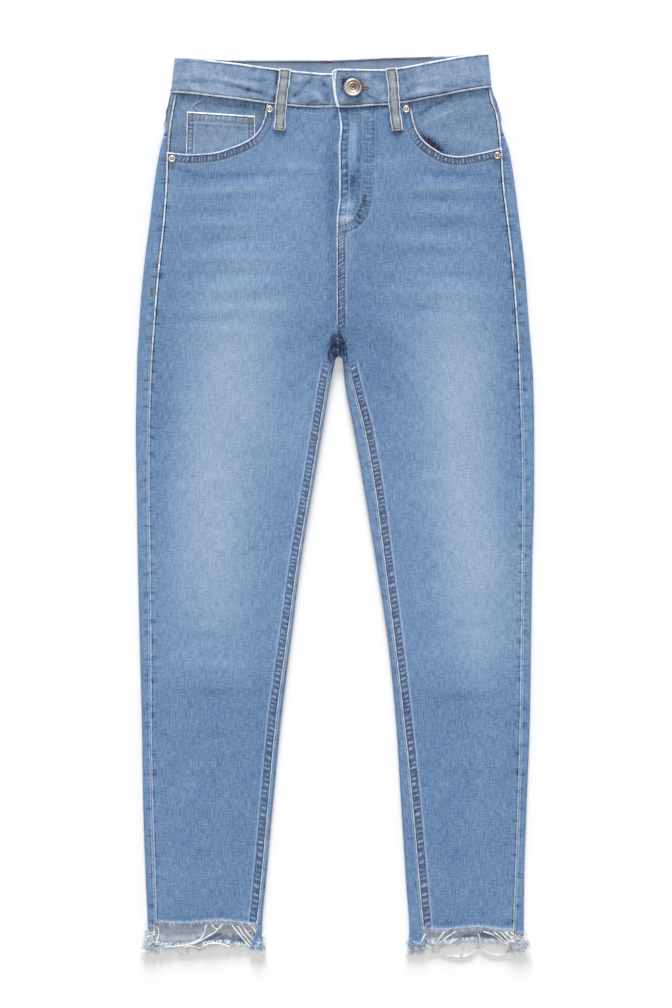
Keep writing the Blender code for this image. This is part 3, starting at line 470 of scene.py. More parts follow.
def besideLine(points, x, drop, offset=0.0, scale=1.0, **wear):
    line, at = denseLine(points)
    tree = KDTree(len(line))
    for k, (lineX, lineDrop) in enumerate(line):
        tree.insert((lineX, lineDrop, 0), k)
    tree.balance()
    found = [tree.find((a, b, 0))[1:] for a, b in zip(x.ravel(), drop.ravel())]
    run = np.array([at[k] for k, _ in found]).reshape(x.shape)
    distance = np.array([far for _, far in found]).reshape(x.shape) * scale + offset
    return seamAt(distance, run, **wear)


def wearFrom(seams):
    # the nearest seam decides how each place is worn
    distance = np.stack([seam["distance"] for seam in seams])
    nearest = distance.argmin(0)
    look = {}
    for mark in ("run", "worn", "rope", "bars", "tint"):
        layers = [np.broadcast_to(seam[mark], nearest.shape) for seam in seams]
        look[mark] = np.take_along_axis(np.stack(layers), nearest[None], 0)[0]
    look["seam"] = np.stack((look.pop("run"), distance.min(0)), -1)
    return look


# materials


def linear(*rgb):
    return [((c / 255 + 0.055) / 1.055) ** 2.4 if c > 10 else c / 255 / 12.92 for c in rgb] + [1.0]


def connect(tree, node, inputs):
    for socket, value in inputs.items():
        if isinstance(value, bpy.types.NodeSocket):
            tree.links.new(value, node.inputs[socket])
        else:
            node.inputs[socket].default_value = value


def put(tree, kind, inputs=None, **settings):
    node = tree.nodes.new(kind)
    for name, value in settings.items():
        setattr(node, name, value)
    connect(tree, node, inputs or {})
    return node


def calc(tree, operation, *values, clamp=False):
    return put(tree, "ShaderNodeMath", dict(enumerate(values)), operation=operation,
               use_clamp=clamp).outputs[0]


def plus(tree, total, *values):
    for value in values:
        total = calc(tree, "ADD", total, value)
    return total


def times(tree, total, *values):
    for value in values:
        total = calc(tree, "MULTIPLY", total, value)
    return total


def fromTo(tree, value, low, high, start=0.0, end=1.0):
    # a smooth step from start at low to end at high
    return put(tree, "ShaderNodeMapRange", {0: value, 1: low, 2: high, 3: start, 4: end},
               interpolation_type="SMOOTHSTEP").outputs[0]


def between(tree, value, out, full, fullEnd, outEnd):
    # 1 from full to fullEnd, easing to 0 at either side
    return times(tree, fromTo(tree, value, out, full), fromTo(tree, value, outEnd, fullEnd))


def noise(tree, vector, stretch, detail=2.0, roughness=0.55):
    # features about one over stretch long, in the units of the vector
    scaled = put(tree, "ShaderNodeVectorMath", {0: vector, 1: (*stretch, 1.0)}, operation="MULTIPLY")
    return put(tree, "ShaderNodeTexNoise", {"Vector": scaled.outputs[0], "Scale": 1.0, "Detail": detail,
                                            "Roughness": roughness}).outputs[0]


def uneven(tree, *settings):
    # the same noise, round zero
    return calc(tree, "SUBTRACT", noise(tree, *settings), 0.5)


def newGroup(name, inputs, outputs):
    tree = bpy.data.node_groups.new(name, "ShaderNodeTree")
    for label, kind, value in inputs:
        socket = tree.interface.new_socket(name=label, in_out="INPUT", socket_type="NodeSocket" + kind)
        if value is not None:
            socket.default_value = value
    for label in outputs:
        tree.interface.new_socket(name=label, in_out="OUTPUT", socket_type="NodeSocketFloat")
    return tree, tree.nodes.new("NodeGroupInput").outputs, tree.nodes.new("NodeGroupOutput")


def makeWeaveGroup():
    # slubs along and across the cloth, a fine twill, and slow clouds of uneven dye
    tree, into, out = newGroup("denimWeave", (
        ("Weave", "Vector", None), ("Slub", "Float", 1.0), ("Crumple", "Float", 0.05)), ("Shade", "Height"))
    weave = into["Weave"]
    patch = fromTo(tree, noise(tree, weave, (0.045, 0.05), 1.0), 0.4, 0.6)
    warp = times(tree, uneven(tree, weave, (0.62, 0.09)), fromTo(tree, patch, 0.0, 1.0, 0.26, 0.34))
    weft = times(tree, uneven(tree, weave, (0.15, 0.64)), fromTo(tree, patch, 0.0, 1.0, 0.28, 0.19))
    spot = times(tree, uneven(tree, weave, (0.50, 0.50), 1.0), 0.13)
    slubs = times(tree, plus(tree, warp, weft, spot), into["Slub"])
    cloud = times(tree, uneven(tree, weave, (0.028, 0.02), 4.0, 0.6), 0.13)
    turned = put(tree, "ShaderNodeMapping", {"Vector": weave, "Rotation": (0, 0, math.radians(63))})
    twill = put(tree, "ShaderNodeTexWave", {"Vector": turned.outputs[0], "Scale": 0.36, "Distortion": 0.6,
                                            "Detail": 1.0}).outputs[1]
    line = calc(tree, "SUBTRACT", twill, 0.5)
    crumple = times(tree, uneven(tree, weave, (0.085, 0.115), 4.0, 0.6), into["Crumple"])
    connect(tree, out, {
        "Shade": plus(tree, slubs, cloud, times(tree, line, 0.04), crumple),
        "Height": plus(tree, times(tree, slubs, 0.9), times(tree, line, 0.10), crumple)})
    return tree


# how much paler each part of the wear beside a seam is, and millimetres from pucker to pucker
washed = {"rim": 0.55, "beside": -0.23, "farLine": -0.10, "halo": 0.20, "bars": 0.085, "rungs": 0.40,
          "band": -0.14, "pitch": 4.9}


def makeSeamGroup():
    # what washing does beside a seam: a rim worn white, a dark line, and puckers between stitches
    tree, into, out = newGroup("seamWear", (
        ("Seam", "Vector", None), ("Worn", "Float", 0.0), ("Rope", "Float", 0.0),
        ("Bars", "Float", 0.0), ("Tint", "Float", 1.0)), ("Shade", "Band", "Height"))
    seam, rope = into["Seam"], into["Rope"]
    parts = put(tree, "ShaderNodeSeparateXYZ", {0: seam}).outputs
    run, distance = parts[0], calc(tree, "MULTIPLY_ADD", uneven(tree, seam, (0.16, 0.0)), 1.5, parts[1])
    patchy = fromTo(tree, noise(tree, seam, (0.10, 0.0), 3.0), 0.36, 0.56, 0.6, 1.0)
    rim = times(tree, fromTo(tree, distance, 1.9, 1.15), times(tree, into["Worn"], patchy))
    beside = times(tree, between(tree, distance, 1.5, 2.1, 2.5, 3.3), into["Worn"])
    band = times(tree, between(tree, distance, 2.5, 3.2, 8.3, 9.0), rope)
    farLine = times(tree, between(tree, distance, 8.0, 8.8, 9.4, 10.4), rope)
    halo = times(tree, between(tree, distance, 9.6, 10.4, 11.2, 12.6), rope)
    drift = times(tree, noise(tree, seam, (0.045, 0.0)), 19.0)
    phase = calc(tree, "MULTIPLY_ADD", run, math.tau / washed["pitch"], drift)
    phase = calc(tree, "MULTIPLY_ADD", distance, 0.22, phase)
    rung = times(tree, fromTo(tree, calc(tree, "SINE", phase), -0.05, 0.8),
                 fromTo(tree, noise(tree, seam, (0.17, 0.16)), 0.36, 0.58, 0.25, 1.0))
    rungs = times(tree, band, rung)
    bar = fromTo(tree, noise(tree, seam, (0.095, 0.012)), 0.50, 0.60, 0.25, -1.0)
    bars = times(tree, bar, fromTo(tree, distance, 9.0, 4.0), into["Bars"])
    shade = times(tree, rim, washed["rim"])
    for name, mask in (("beside", beside), ("farLine", farLine), ("halo", halo), ("bars", bars),
                       ("rungs", rungs), ("band", band)):
        shade = calc(tree, "MULTIPLY_ADD", mask, washed[name], shade)
    bare = times(tree, band, calc(tree, "MULTIPLY_ADD", rung, -0.85, 1.0))
    connect(tree, out, {
        "Shade": shade, "Band": times(tree, bare, into["Tint"]),
        "Height": calc(tree, "MULTIPLY_ADD", bars, 0.25, times(tree, rungs, 0.40))})
    return tree


weaveGroup = makeWeaveGroup()
seamGroup = makeSeamGroup()

# denim from unwashed indigo to bare white threads
washSteps = (
    (0, 30, 38, 60), (0.07, 56, 72, 106), (0.13, 81, 107, 147), (0.25, 103, 134, 173),
    (0.33, 118, 148, 182), (0.41, 134, 161, 193), (0.48, 147, 169, 198), (0.55, 159, 178, 205),
    (0.74, 192, 205, 221), (0.94, 232, 238, 244),
)


def rampOf(tree, factor, steps):
    ramp = put(tree, "ShaderNodeValToRGB", {0: factor})
    colours = ramp.color_ramp.elements
    while len(colours) < len(steps):
        colours.new(0.5)
    for stop, (at, *rgb) in zip(colours, steps):
        stop.position = at
        stop.color = linear(*rgb)
    return ramp.outputs[0]


def attribute(tree, name):
    return put(tree, "ShaderNodeAttribute", attribute_name=name).outputs["Fac"]


def newMaterial(name):
    made = bpy.data.materials.new(name)
    made.use_nodes = True
    return made, made.node_tree, made.node_tree.nodes["Principled BSDF"]


def bumped(tree, height, strength, distance):
    inputs = {"Height": height, "Strength": strength, "Distance": distance}
    return put(tree, "ShaderNodeBump", inputs).outputs[0]


bandTint = (84, 90, 113)  # the dye that is left along a twin-stitched edge


def denimMaterial(name, steps=washSteps, slub=1.3, crumple=0.05, bandMix=0.6, paleness="pale"):
    made, tree, shader = newMaterial(name)
    weave, seam = (put(tree, "ShaderNodeUVMap", uv_map=layer).outputs[0] for layer in ("weave", "seam"))
    woven = put(tree, "ShaderNodeGroup", {"Weave": weave, "Slub": slub, "Crumple": crumple},
                node_tree=weaveGroup).outputs
    marks = {mark.capitalize(): attribute(tree, mark) for mark in ("worn", "rope", "bars", "tint")}
    wear = put(tree, "ShaderNodeGroup", {"Seam": seam, **marks}, node_tree=seamGroup).outputs
    shade, height = woven["Shade"], plus(tree, woven["Height"], wear["Height"])
    tone = calc(tree, "ADD", plus(tree, attribute(tree, paleness), shade), wear["Shade"], clamp=True)
    dusty = put(tree, "ShaderNodeMix", {0: times(tree, wear["Band"], bandMix), 6: rampOf(tree, tone, steps),
                                        7: linear(*bandTint)}, data_type="RGBA", blend_type="MIX")
    connect(tree, shader, {
        "Base Color": dusty.outputs[2], "Normal": bumped(tree, height, 0.7, 0.0009),
        "Roughness": calc(tree, "ADD", times(tree, shade, 0.4), 0.86, clamp=True),
        "Sheen Weight": 0.05, "Specular IOR Level": 0.18})
    return made


def threadMaterial(name, dark, light, roughness=0.7):
    made, tree, shader = newMaterial(name)
    place = put(tree, "ShaderNodeTexCoord").outputs["Object"]
    worn = noise(tree, place, (140, 140), 3.0)
    connect(tree, shader, {
        "Base Color": rampOf(tree, worn, ((0.36, *dark), (0.62, *light))),
        "Roughness": fromTo(tree, worn, 0.3, 0.7, roughness, roughness + 0.15),
        "Normal": bumped(tree, noise(tree, place, (1800, 1800), 1.0), 0.4, 0.0002),
        "Specular IOR Level": 0.25})
    return made


def metalMaterial(name, deep, face, worn, roughness, low, high):
    # dark in the hollows between low and high, polished where hands rub it
    made, tree, shader = newMaterial(name)
    place = put(tree, "ShaderNodeTexCoord").outputs["Object"]
    raised = fromTo(tree, put(tree, "ShaderNodeSeparateXYZ", {0: place}).outputs[2], low * mm, high * mm)
    wear = calc(tree, "MULTIPLY_ADD", uneven(tree, place, (260, 260), 3.0), 0.7, raised, clamp=True)
    connect(tree, shader, {
        "Base Color": rampOf(tree, wear, ((0.0, *deep), (0.45, *face), (0.95, *worn))),
        "Roughness": fromTo(tree, wear, 0.0, 1.0, roughness + 0.2, roughness),
        "Normal": bumped(tree, noise(tree, place, (1400, 1400)), 0.12, 0.0001),
        "Metallic": 1.0})
    return made


innerSteps = (
    (0, 96, 108, 132), (0.25, 150, 160, 176), (0.45, 182, 190, 202), (0.7, 208, 214, 221),
    (1, 238, 240, 242),
)
denim = denimMaterial("washedDenim")
# a little greyer where the cloth is doubled at the waist
waistSteps = tuple((at, r + 5 * (1 - at), g - 1, b - 8 * (1 - at)) for at, r, g, b in washSteps)
waistDenim = denimMaterial("creasedDenim", waistSteps, crumple=0.5)
pocketDenim = denimMaterial("pocketDenim", waistSteps, crumple=0.2)
innerDenim = denimMaterial("denimWrongSide", innerSteps, 1.0, 0.5, bandMix=0.0, paleness="inside")
bandSteps = ((0.00, 76, 84, 108), (0.30, 118, 136, 162), (0.60, 148, 164, 188), (1.00, 214, 221, 230))
bandInside = denimMaterial("bandInside", bandSteps, 0.9, 0.25, bandMix=0.0, paleness="inside")
threadColours = {
    "dusk": ((78, 78, 95), (128, 121, 130)), "tan": ((120, 98, 76), (176, 154, 122)),
    "gold": ((112, 102, 84), (184, 172, 146)), "rust": ((90, 74, 80), (128, 106, 108)),
    "umber": ((66, 60, 68), (112, 98, 96)), "brown": ((92, 80, 84), (150, 128, 108)),
    "raw": ((214, 216, 219), (250, 248, 244), 0.85), "fuzz": ((162, 183, 212), (218, 228, 240), 0.85),
}
threads = {name: threadMaterial(name + "Thread", *look) for name, look in threadColours.items()}
brass = metalMaterial("antiqueBrass", (128, 112, 100), (202, 191, 178), (232, 224, 212), 0.38, 12.9, 15.0)
rivetBrass = metalMaterial("rivetBrass", (128, 120, 110), (200, 194, 180), (232, 228, 216), 0.36, 8.4, 9.8)
copper = metalMaterial("rubbedCopper", (120, 96, 80), (188, 162, 138), (224, 208, 188), 0.36, 8.4, 9.8)
print("materials made")


def finish(piece, node, materials):
    for material in materials:
        piece.data.materials.append(material)
    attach(piece, "root")
    if node:
        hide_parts(node)
    return piece


def sheetArea(piece):
    return sum(face.area for face in piece.data.polygons)


# fronts
front = {"width": 190.0, "across": 4.0, "down": 2.6, "steep": 1.7}  # its steps, closer beside the mouth's end


def frontEdges(side, drop):
    half = sides[side] * seamGap / 2
    return legs[side]["seamOut"](drop) - half, legs[side]["seamIn"](drop) + half


# the fly's free edge wanders where it isn't pressed flat
flyEdge = smoothCurve((50, 58, 84, 108, 135, 165, 178, 190, 320),
                      (1.7, 2.6, 6.4, 4.2, 4.9, 4.4, 2.4, 1.7, 1.7))


def frontTop(side, share):
    drop = np.full(share.shape, 90.0)
    for _ in range(16):
        x = lerp(*frontEdges(side, drop), share)
        band = bandBottom(side, x) + seamGap + 0.1
        found = np.where(np.abs(x) > mouthEnd[side], mouthDrop(side, x), band)
        drop = lerp(drop, found, 0.6)
    return drop


def hemWave(side, share):
    return 1.3 * np.sin(share * 9 + sides[side]) - 1.2 * np.sin(share * math.pi)


def hemTatter(share, seed):
    # the small uneven bites along a raw edge
    return 0.5 * ripple(share * 120, 7.0, seed) + 0.3 * ripple(share * 120, 2.9, seed + "fine")


# the fly's curved topstitch, by x and drop: two rows that part low down, and the wear between them
flyCurve = {
    "outer": ((39.6, 132), (39.4, 150), (38.8, 165), (36, 177), (28, 189), (18, 197), (1.8, 201)),
    "inner": ((36.6, 58), (36.8, 91), (36.2, 136), (33.4, 160), (28, 175), (21, 186), (12, 191.5),
              (1.8, 194)),
    "wear": ((38, 52), (38.2, 91), (37.6, 140), (35.5, 166), (31, 180), (23, 190), (1.8, 197.5)),
}


seamWorn = {"right": 0.84, "left": 0.95}  # how ropy and blue the inseam's band has stayed


def frontSeams(side, x, drop):
    leg, sign, blue = legs[side], sides[side], seamWorn[side]
    at = np.arange(54, frontHem[side] + 4, 4.0)
    low = at[at > crotchDrop]
    ropy = ease((np.abs(x) - 82) / 14)  # the mouth's upper end is soft
    outseam = besideLine(list(zip(leg["seamOut"](at), at)), x, drop, -0.4,
                         worn=1.25 - 0.65 * ease((drop - 250) / 200), bars=1.1)
    inseam = besideLine(list(zip(leg["seamIn"](low), low)), x, drop, worn=0.95 * ease((drop - 340) / 40),
                        rope=blue * ease((drop - 338) / 16), tint=blue - 0.12)
    inseam["run"] = inseam["run"] - 0.00024 * inseam["run"] ** 2
    mouth = besideLine([(sign * far, d) for far, d in mouthLine(side)], x, drop, worn=1.0,
                       rope=0.3 + 0.6 * ropy, tint=0.4 + 0.9 * ropy - 0.5 * ease((np.abs(x) - 140) / 30))
    mouth["run"] = mouth["run"] * 1.35
    at = np.linspace(sign * 184, sign * 2, 40)
    underBand = besideLine(list(zip(at, bandBottom(side, at) - 1.4)), x, drop, scale=1.4, rope=0.25, bars=0.5)
    seams = [outseam, inseam, mouth, underBand]
    if side == "right":
        seams.append(besideLine([(centreFront, 56), (centreFront, crotchDrop)], x, drop, bars=0.2))
        return wearFrom(seams)
    at = np.arange(56, 202, 3.0)
    edge = besideLine(list(zip(flyEdge(at), at)), x, drop, -0.3, worn=1.0, rope=0.55, tint=0.1)
    edge["run"] = edge["run"] * 0.62
    centre = besideLine([(centreFront, 202), (centreFront, crotchDrop)], x, drop, worn=1.0, rope=0.9,
                        tint=0.5)
    centre["run"] = centre["run"] * 1.3 + centre["distance"] * 0.6
    curve = besideLine(flyCurve["wear"], x, drop, 2.4, 1.2, tint=0.2,
                       rope=0.35 + 0.15 * ease((drop - 130) / 50))
    return wearFrom(seams + [edge, centre, curve])


def loopShadow(side, x, drop):
    # painted shadow that a belt loop casts on the denim beside it and below its foot
    (x0, d0), (x1, d1) = loopEnds["front" + side.capitalize()]
    size = math.hypot(x1 - x0, d1 - d0)
    along = ((x - x0) * (x1 - x0) + (drop - d0) * (d1 - d0)) / size
    across = ((x - x0) * (d1 - d0) - (drop - d0) * (x1 - x0)) / size
    edge = bell(across, -8.4, 2.0) + 0.8 * bell(across, 8.0, 1.6)
    foot = bell(along, size + 1.6, 2.0) * ease((9 - np.abs(across)) / 3)
    return -0.15 * edge * ease((size + 3 - along) / 3) * ease(along / 3) - 0.20 * foot


crotchShade = {
    "right": smoothCurve((300, 312, 320, 332, 342, 352, 400), (-9, 4.0, 5.2, 5.2, 4.0, -3, -9)),
    "left": smoothCurve((300, 312, 324, 340, 352, 400), (-9, 2.0, 2.0, 1.4, -3, -9)),
}


def makeFront(side):
    shares = closeSteps(front["width"], front["across"])
    steep = abs(frontEdges(side, 105)[0]) - np.arange(mouthEnd[side] - 1, mouthEnd[side] + 24, front["steep"])
    shares = np.unique(np.concatenate((shares, steep / front["width"])).round(4))
    top = frontTop(side, shares)
    near = np.array((0, 1, 2, 3, 4.2, 5.6, 7.2, 9, 11, 13.5, 16.5, 20)) / 82
    weights = np.concatenate((near, np.linspace(near[-1], 1, 22)[1:-1]))
    hem = frontHem[side] + hemWave(side, shares) + hemTatter(shares, "front" + side)
    level = np.arange(mouthFoot, frontHem[side] - 16, front["down"])
    drops = [lerp(top, mouthFoot, w) for w in weights] + [np.full(len(shares), d) for d in level]
    drops += [lerp(level[-1], hem, w) for w in (0.2, 0.4, 0.58, 0.72, 0.84, 0.92, 1.0)]
    drop = np.array(drops)
    x = lerp(*frontEdges(side, drop), shares)
    z = frontHeight(side, x, drop)
    sway = flyEdge(drop) - centreFront - seamGap / 2
    x = x + sway * np.clip((12 - x) / 12 if side == "left" else (x + 20) / 20, 0, 1)
    look = frontSeams(side, x, drop)
    middle = legs[side]["seamIn"](drop) * 0.5, legs[side]["seamOut"](drop) * 0.5
    look["weave"] = np.stack((x - middle[0] - middle[1], drop), -1)
    # worn fades and whiskers, with painted shade beside the fly's edge, over the crotch and along the creases
    pale = fadedAndShaded(frontFadesAndShade, x, drop) + 1.5 * creased(frontCreases, x, drop, "pale")
    pale = pale + 0.27 * ease((drop - hem + 7.0) / 7.0) - 0.05 * bell(drop, hem - 6, 2.5)
    # painted shade darkens the crotch, where the layers fold over one another
    toInseam = np.abs(x - legs[side]["seamIn"](drop))
    pale = pale - 0.24 * ease((crotchShade[side](drop) - toInseam) / 4.5 + 0.5) * ease((drop - 308) / 10)
    # painted shadow just below the waistband's edge, and beside the belt loop
    pale = np.maximum(pale, 0.06) - 0.16 * bell(drop, bandBottom(side, x) + 1.4, 1.3)
    look["pale"] = pale + loopShadow(side, x, drop)
    piece = layPanel("frontPanel" + side.capitalize(), x, drop, z, look, cloth)
    return finish(piece, "front_" + side, (denim, innerDenim))


fronts = {side: makeFront(side) for side in sides}
print("fronts laid", [round(sheetArea(piece), 4) for piece in fronts.values()])

# hip pieces in the pocket mouths, and the coin pocket
hipDrags = (  # creases without their paleness, which follows the height
    (-150, 72, 26, 5, -0.4, -0.4), (-120, 92, 40, 6, 0.1, 0.35), (-100, 66, 20, 4, 0.5, -0.4),
    (108, 60, 38, 4, 0.55, -0.75), (118, 70, 26, 5, 0.42, 0.5), (150, 96, 30, 6, -0.2, 0.3),
    (-160, 64, 18, 4, -0.3, 0.4), (150, 76, 30, 5, 0.3, -0.3), (-114, 58.5, 34, 4.5, -0.05, -0.55),
)
# the creases' paleness is painted shade and highlight, a fifth of their height
hipCreases = tuple(row + (0.20 * row[-1],) for row in hipDrags)


def makeFacing(side):
    sign = sides[side]
    inner = sign * (mouthEnd[side] - 4.5)
    shares, downs = np.linspace(0, 1, 44), np.linspace(0, 1, 34)[:, None]
    x0 = lerp(frontEdges(side, 75.0)[0], inner, shares)
    top = bandBottom(side, x0) - 3.0
    foot = mouthDrop(side, np.maximum(np.abs(x0), mouthEnd[side])) + 9.0
    drop = lerp(top, np.maximum(foot, top + 14), downs)
    outer = frontEdges(side, drop)[0] - sign * (5.0 * ease(1 - (drop - drop[0]) / 6.0))
    x = lerp(outer, inner, shares)
    z = facingHeight(side, x, drop) + creased(hipCreases, x, drop, "height") * 0.6
    across, down = np.linspace(sign * 188, inner, 40), np.arange(40, 130, 3.0)
    look = wearFrom([
        besideLine(list(zip(across, bandBottom(side, across))), x, drop, rope=0.15, bars=0.5),
        besideLine(list(zip(legs[side]["seamOut"](down), down)), x, drop, -0.9, worn=1.3, bars=0.7),
    ])
    look["weave"] = np.stack((x + sign * 40, drop * 1.02), -1)
    mouth = mouthDrop(side, x) - drop
    # painted shadow in the gape of the pocket's mouth and just below the waistband's edge
    gape = 0.27 * bell(x, 109, 20) if side == "left" else 0.07
    shade = (gape + 0.05) * ease(1.2 - mouth / (8 + 24 * gape))
    shade = shade + 0.16 * bell(drop, bandBottom(side, x) + 1.4, 1.3)
    look["pale"] = 0.305 + creased(hipCreases, x, drop, "pale") - shade
    piece = layPanel("hipPiece" + side.capitalize(), x, drop, z, look, cloth)
    return finish(piece, "pocket_facing_" + side, (pocketDenim, innerDenim))


coin = {"outerX": -165.5, "innerX": -89.5, "outerDrop": 65.0, "innerDrop": 70.0, "cloth": 0.9,
        "rows": (1.9, 9.4), "sideRows": (1.8, 7.0)}


def coinHeight(x, drop):
    top = facingHeight("right", x, drop) + layerGap + coin["cloth"]
    share = (x - coin["outerX"]) / (coin["innerX"] - coin["outerX"])
    fromTop = drop - lerp(coin["outerDrop"], coin["innerDrop"], share)
    sunk = 0.16 * sum(bell(fromTop, row, 0.6) for row in coin["rows"])
    return top + 0.15 * bell(fromTop, 5.0, 3.0) - sunk - 0.2 * bell(fromTop, 0, 0.7)


def makeCoinPocket():
    shares, downs = closeSteps(76.0, 2.6), np.linspace(0, 1, 34)[:, None]
    x0 = lerp(coin["outerX"], coin["innerX"], shares)
    top = lerp(coin["outerDrop"], coin["innerDrop"], shares)
    drop = lerp(top, mouthDrop("right", x0) + 7.5, downs)
    x = x0 - 1.6 * (1 - shares) * downs
    edges = ((x[0], drop[0], 0.5, 0.3, 1.1), (x[:, 0], drop[:, 0], 0.7, 0.2, 1.25),
             (x[:, -1], drop[:, -1], 0.5, 0.3, 1.25))
    look = wearFrom([besideLine(list(zip(a, b)), x, drop, scale=scale, worn=1.0, rope=rope, tint=tint)
                     for a, b, rope, tint, scale in edges])
    look["weave"] = np.stack((x + 200, drop), -1)
    fromTop = drop - top
    below = 0.09 * bell(fromTop, 14.2, 2.2) - 0.05 * bell(fromTop, 5.0, 3.0) - 0.19 * bell(fromTop, 11.0, 0.8)
    look["pale"] = 0.375 - below - 0.10 * ease(1 - (mouthDrop("right", x) - drop) / 7)
    piece = layPanel("coinPocket", x, drop, coinHeight(x, drop), look, coin["cloth"])
    return finish(piece, "coin_pocket", (pocketDenim, innerDenim))


facings = {side: makeFacing(side) for side in sides}
coinPocket = makeCoinPocket()
print("pockets laid", [round(sheetArea(p), 4) for p in (*facings.values(), coinPocket)])

# backs: each row starts at the side seam on top, rolls round the outer fold, runs across the
# underside, and on a leg rolls round the inner fold up to the inseam
arcSteps, stripSteps = 9, 6
acrossShares = np.array([0.01, 0.025, 0.045, 0.07] + list(np.linspace(0.1, 0.9, 24))
                        + [0.93, 0.955, 0.975, 0.99])


def rolledPath(reach, radius):
    # (distance in from the fold, height) from the seam on top to the underside
    arc = math.pi * radius
    strip = max(reach - radius, 0.0)
    turn = math.pi if reach >= radius else math.pi / 2 + math.acos(1 - reach / radius)
    nominal = arc + max(strip, 2.0)
    steps = [arc + (nominal - arc) * k / stripSteps for k in range(stripSteps, 0, -1)]
    steps += [arc * k / arcSteps for k in range(arcSteps, -1, -1)]
    points = []
    for at in steps:
        at *= (strip + radius * turn) / nominal
        if at > arc:
            points.append((radius + at - arc, 2 * radius))
        else:
            points.append((radius * (1 - math.sin(at / radius)), radius * (1 - math.cos(at / radius))))
    return points


def rollAt(fold, seam, drop):
    rest, top = loft["rest"](drop), loft["top"](drop)
    inward = Vector(seam) - Vector(fold)
    reach = inward.length
    inward.normalize()
    return [(fold[0] + inward.x * at, fold[1] + inward.y * at, rest + high)
            for at, high in rolledPath(reach, (top - rest) / 2)]


def backRow(side, sideDrop, innerEnd):
    fold, seam = legs[side]["foldOut"](sideDrop), legs[side]["seamOut"](sideDrop)
    start = rollAt((fold, sideDrop), (seam + sides[side] * seamGap / 2, sideDrop), sideDrop)
    a, b = np.array(start[-1]), np.array(innerEnd[0])
    return start + [tuple(lerp(a, b, share)) for share in acrossShares] + innerEnd


def torsoRow(side, sideDrop, centreDrop):
    x = centreBack + sides[side] * seamGap / 2
    return backRow(side, sideDrop, [(x, centreDrop, loft["rest"](centreDrop))])


def bentRow(rowAt, drops):
    # a row whose every place has a drop of its own
    return [rowAt(d)[k] for k, d in enumerate(drops)]


def crotchTable(side):
    # where each row between seat and leg turns up at the crotch, and where it meets the front
    half = sides[side] * seamGap / 2
    centre, seamIn = centreBack + half, legs[side]["seamIn"]
    rows = ((326, 339.6, 318), (333, 340.8, 325), (341, 343.4, 334), (352, 352, 347))
    foldX = {"right": (2.6, 1.0, 0.2, -1.6), "left": (6.4, 8.0, 8.8, 9.6)}[side]
    table = [(318, centre, 339.2, centre, 312.2)]
    table += [(at, x, fold, seamIn(seam) - half, seam) for x, (at, fold, seam) in zip(foldX, rows)]
    table.append((legDrop, legs[side]["foldIn"](legDrop), legDrop, seamIn(legDrop) - half, legDrop))
    return readTable(("sideDrop", "foldX", "foldDrop", "seamX", "seamDrop"), table)


def legRow(side, sideDrop, crotch):
    if sideDrop < legDrop:
        fold = crotch["foldX"](sideDrop), crotch["foldDrop"](sideDrop)
        seam = crotch["seamX"](sideDrop), crotch["seamDrop"](sideDrop)
    else:
        fold = legs[side]["foldIn"](sideDrop), sideDrop
        seam = legs[side]["seamIn"](sideDrop) - sides[side] * seamGap / 2, sideDrop
    return backRow(side, sideDrop, rollAt(fold, seam, fold[1])[::-1])


def yokeSeam(x):
    # the yoke's lower seam is deepest at the centre back
    return lerp(92.0, 121.0, ease(1 - np.abs(x - centreBack) / 190.0))


def asArrays(rows):
    return np.moveaxis(np.array(rows), -1, 0)


def pathLengths(x, drop, z):
    steps = np.sqrt(np.diff(x, axis=1) ** 2 + np.diff(drop, axis=1) ** 2 + np.diff(z, axis=1) ** 2)
    along = np.concatenate((np.zeros((len(x), 1)), np.cumsum(steps, axis=1)), axis=1)
    return along, along[:, -1:] - along


def backLook(side, x, drop, z, top=None):
    # above the crotch, top is the yoke's seam and the inner end is the centre back
    fromSide, fromEnd = pathLengths(x, drop, z)
    seams = [seamAt(fromSide, drop, worn=0.35 * ease((drop - 240) / 160), bars=1.0)]
    if top is None:
        seams.append(seamAt(fromEnd, drop + 40, worn=0.25, bars=0.6))
    else:
        ridge, below = float(side == "left"), ease((3.5 - z) / 2)
        seams.append(seamAt(fromEnd, drop, worn=0.8 * ridge, rope=ridge, bars=0.4))
        seams.append(seamAt(np.clip(drop - top, 0, None), fromSide, worn=0.9 * below, rope=0.8 * below))
    look = wearFrom(seams)
    look["weave"] = np.stack((fromSide + 300 * sides[side], drop), -1)
    under = ease((4.0 - z) / 3.0)
    pale = 0.015 + basePale(drop) + (fadedAndShaded(backFades, x, drop) - basePale(drop)) * under
    pale = pale - 0.10 * bell(fromSide, 0, 1.8) * (1 - ease((drop - 240) / 160))
    look["pale"] = pale + creased(backCreases, x, drop, "pale") * under
    return look


def backRelief(x, drop, z):
    # creases press the resting cloth up, never through the table
    under = ease((1.2 + loft["rest"](drop) - z) / 1.2)
    return z + creased(backCreases, x, drop, "height") * under


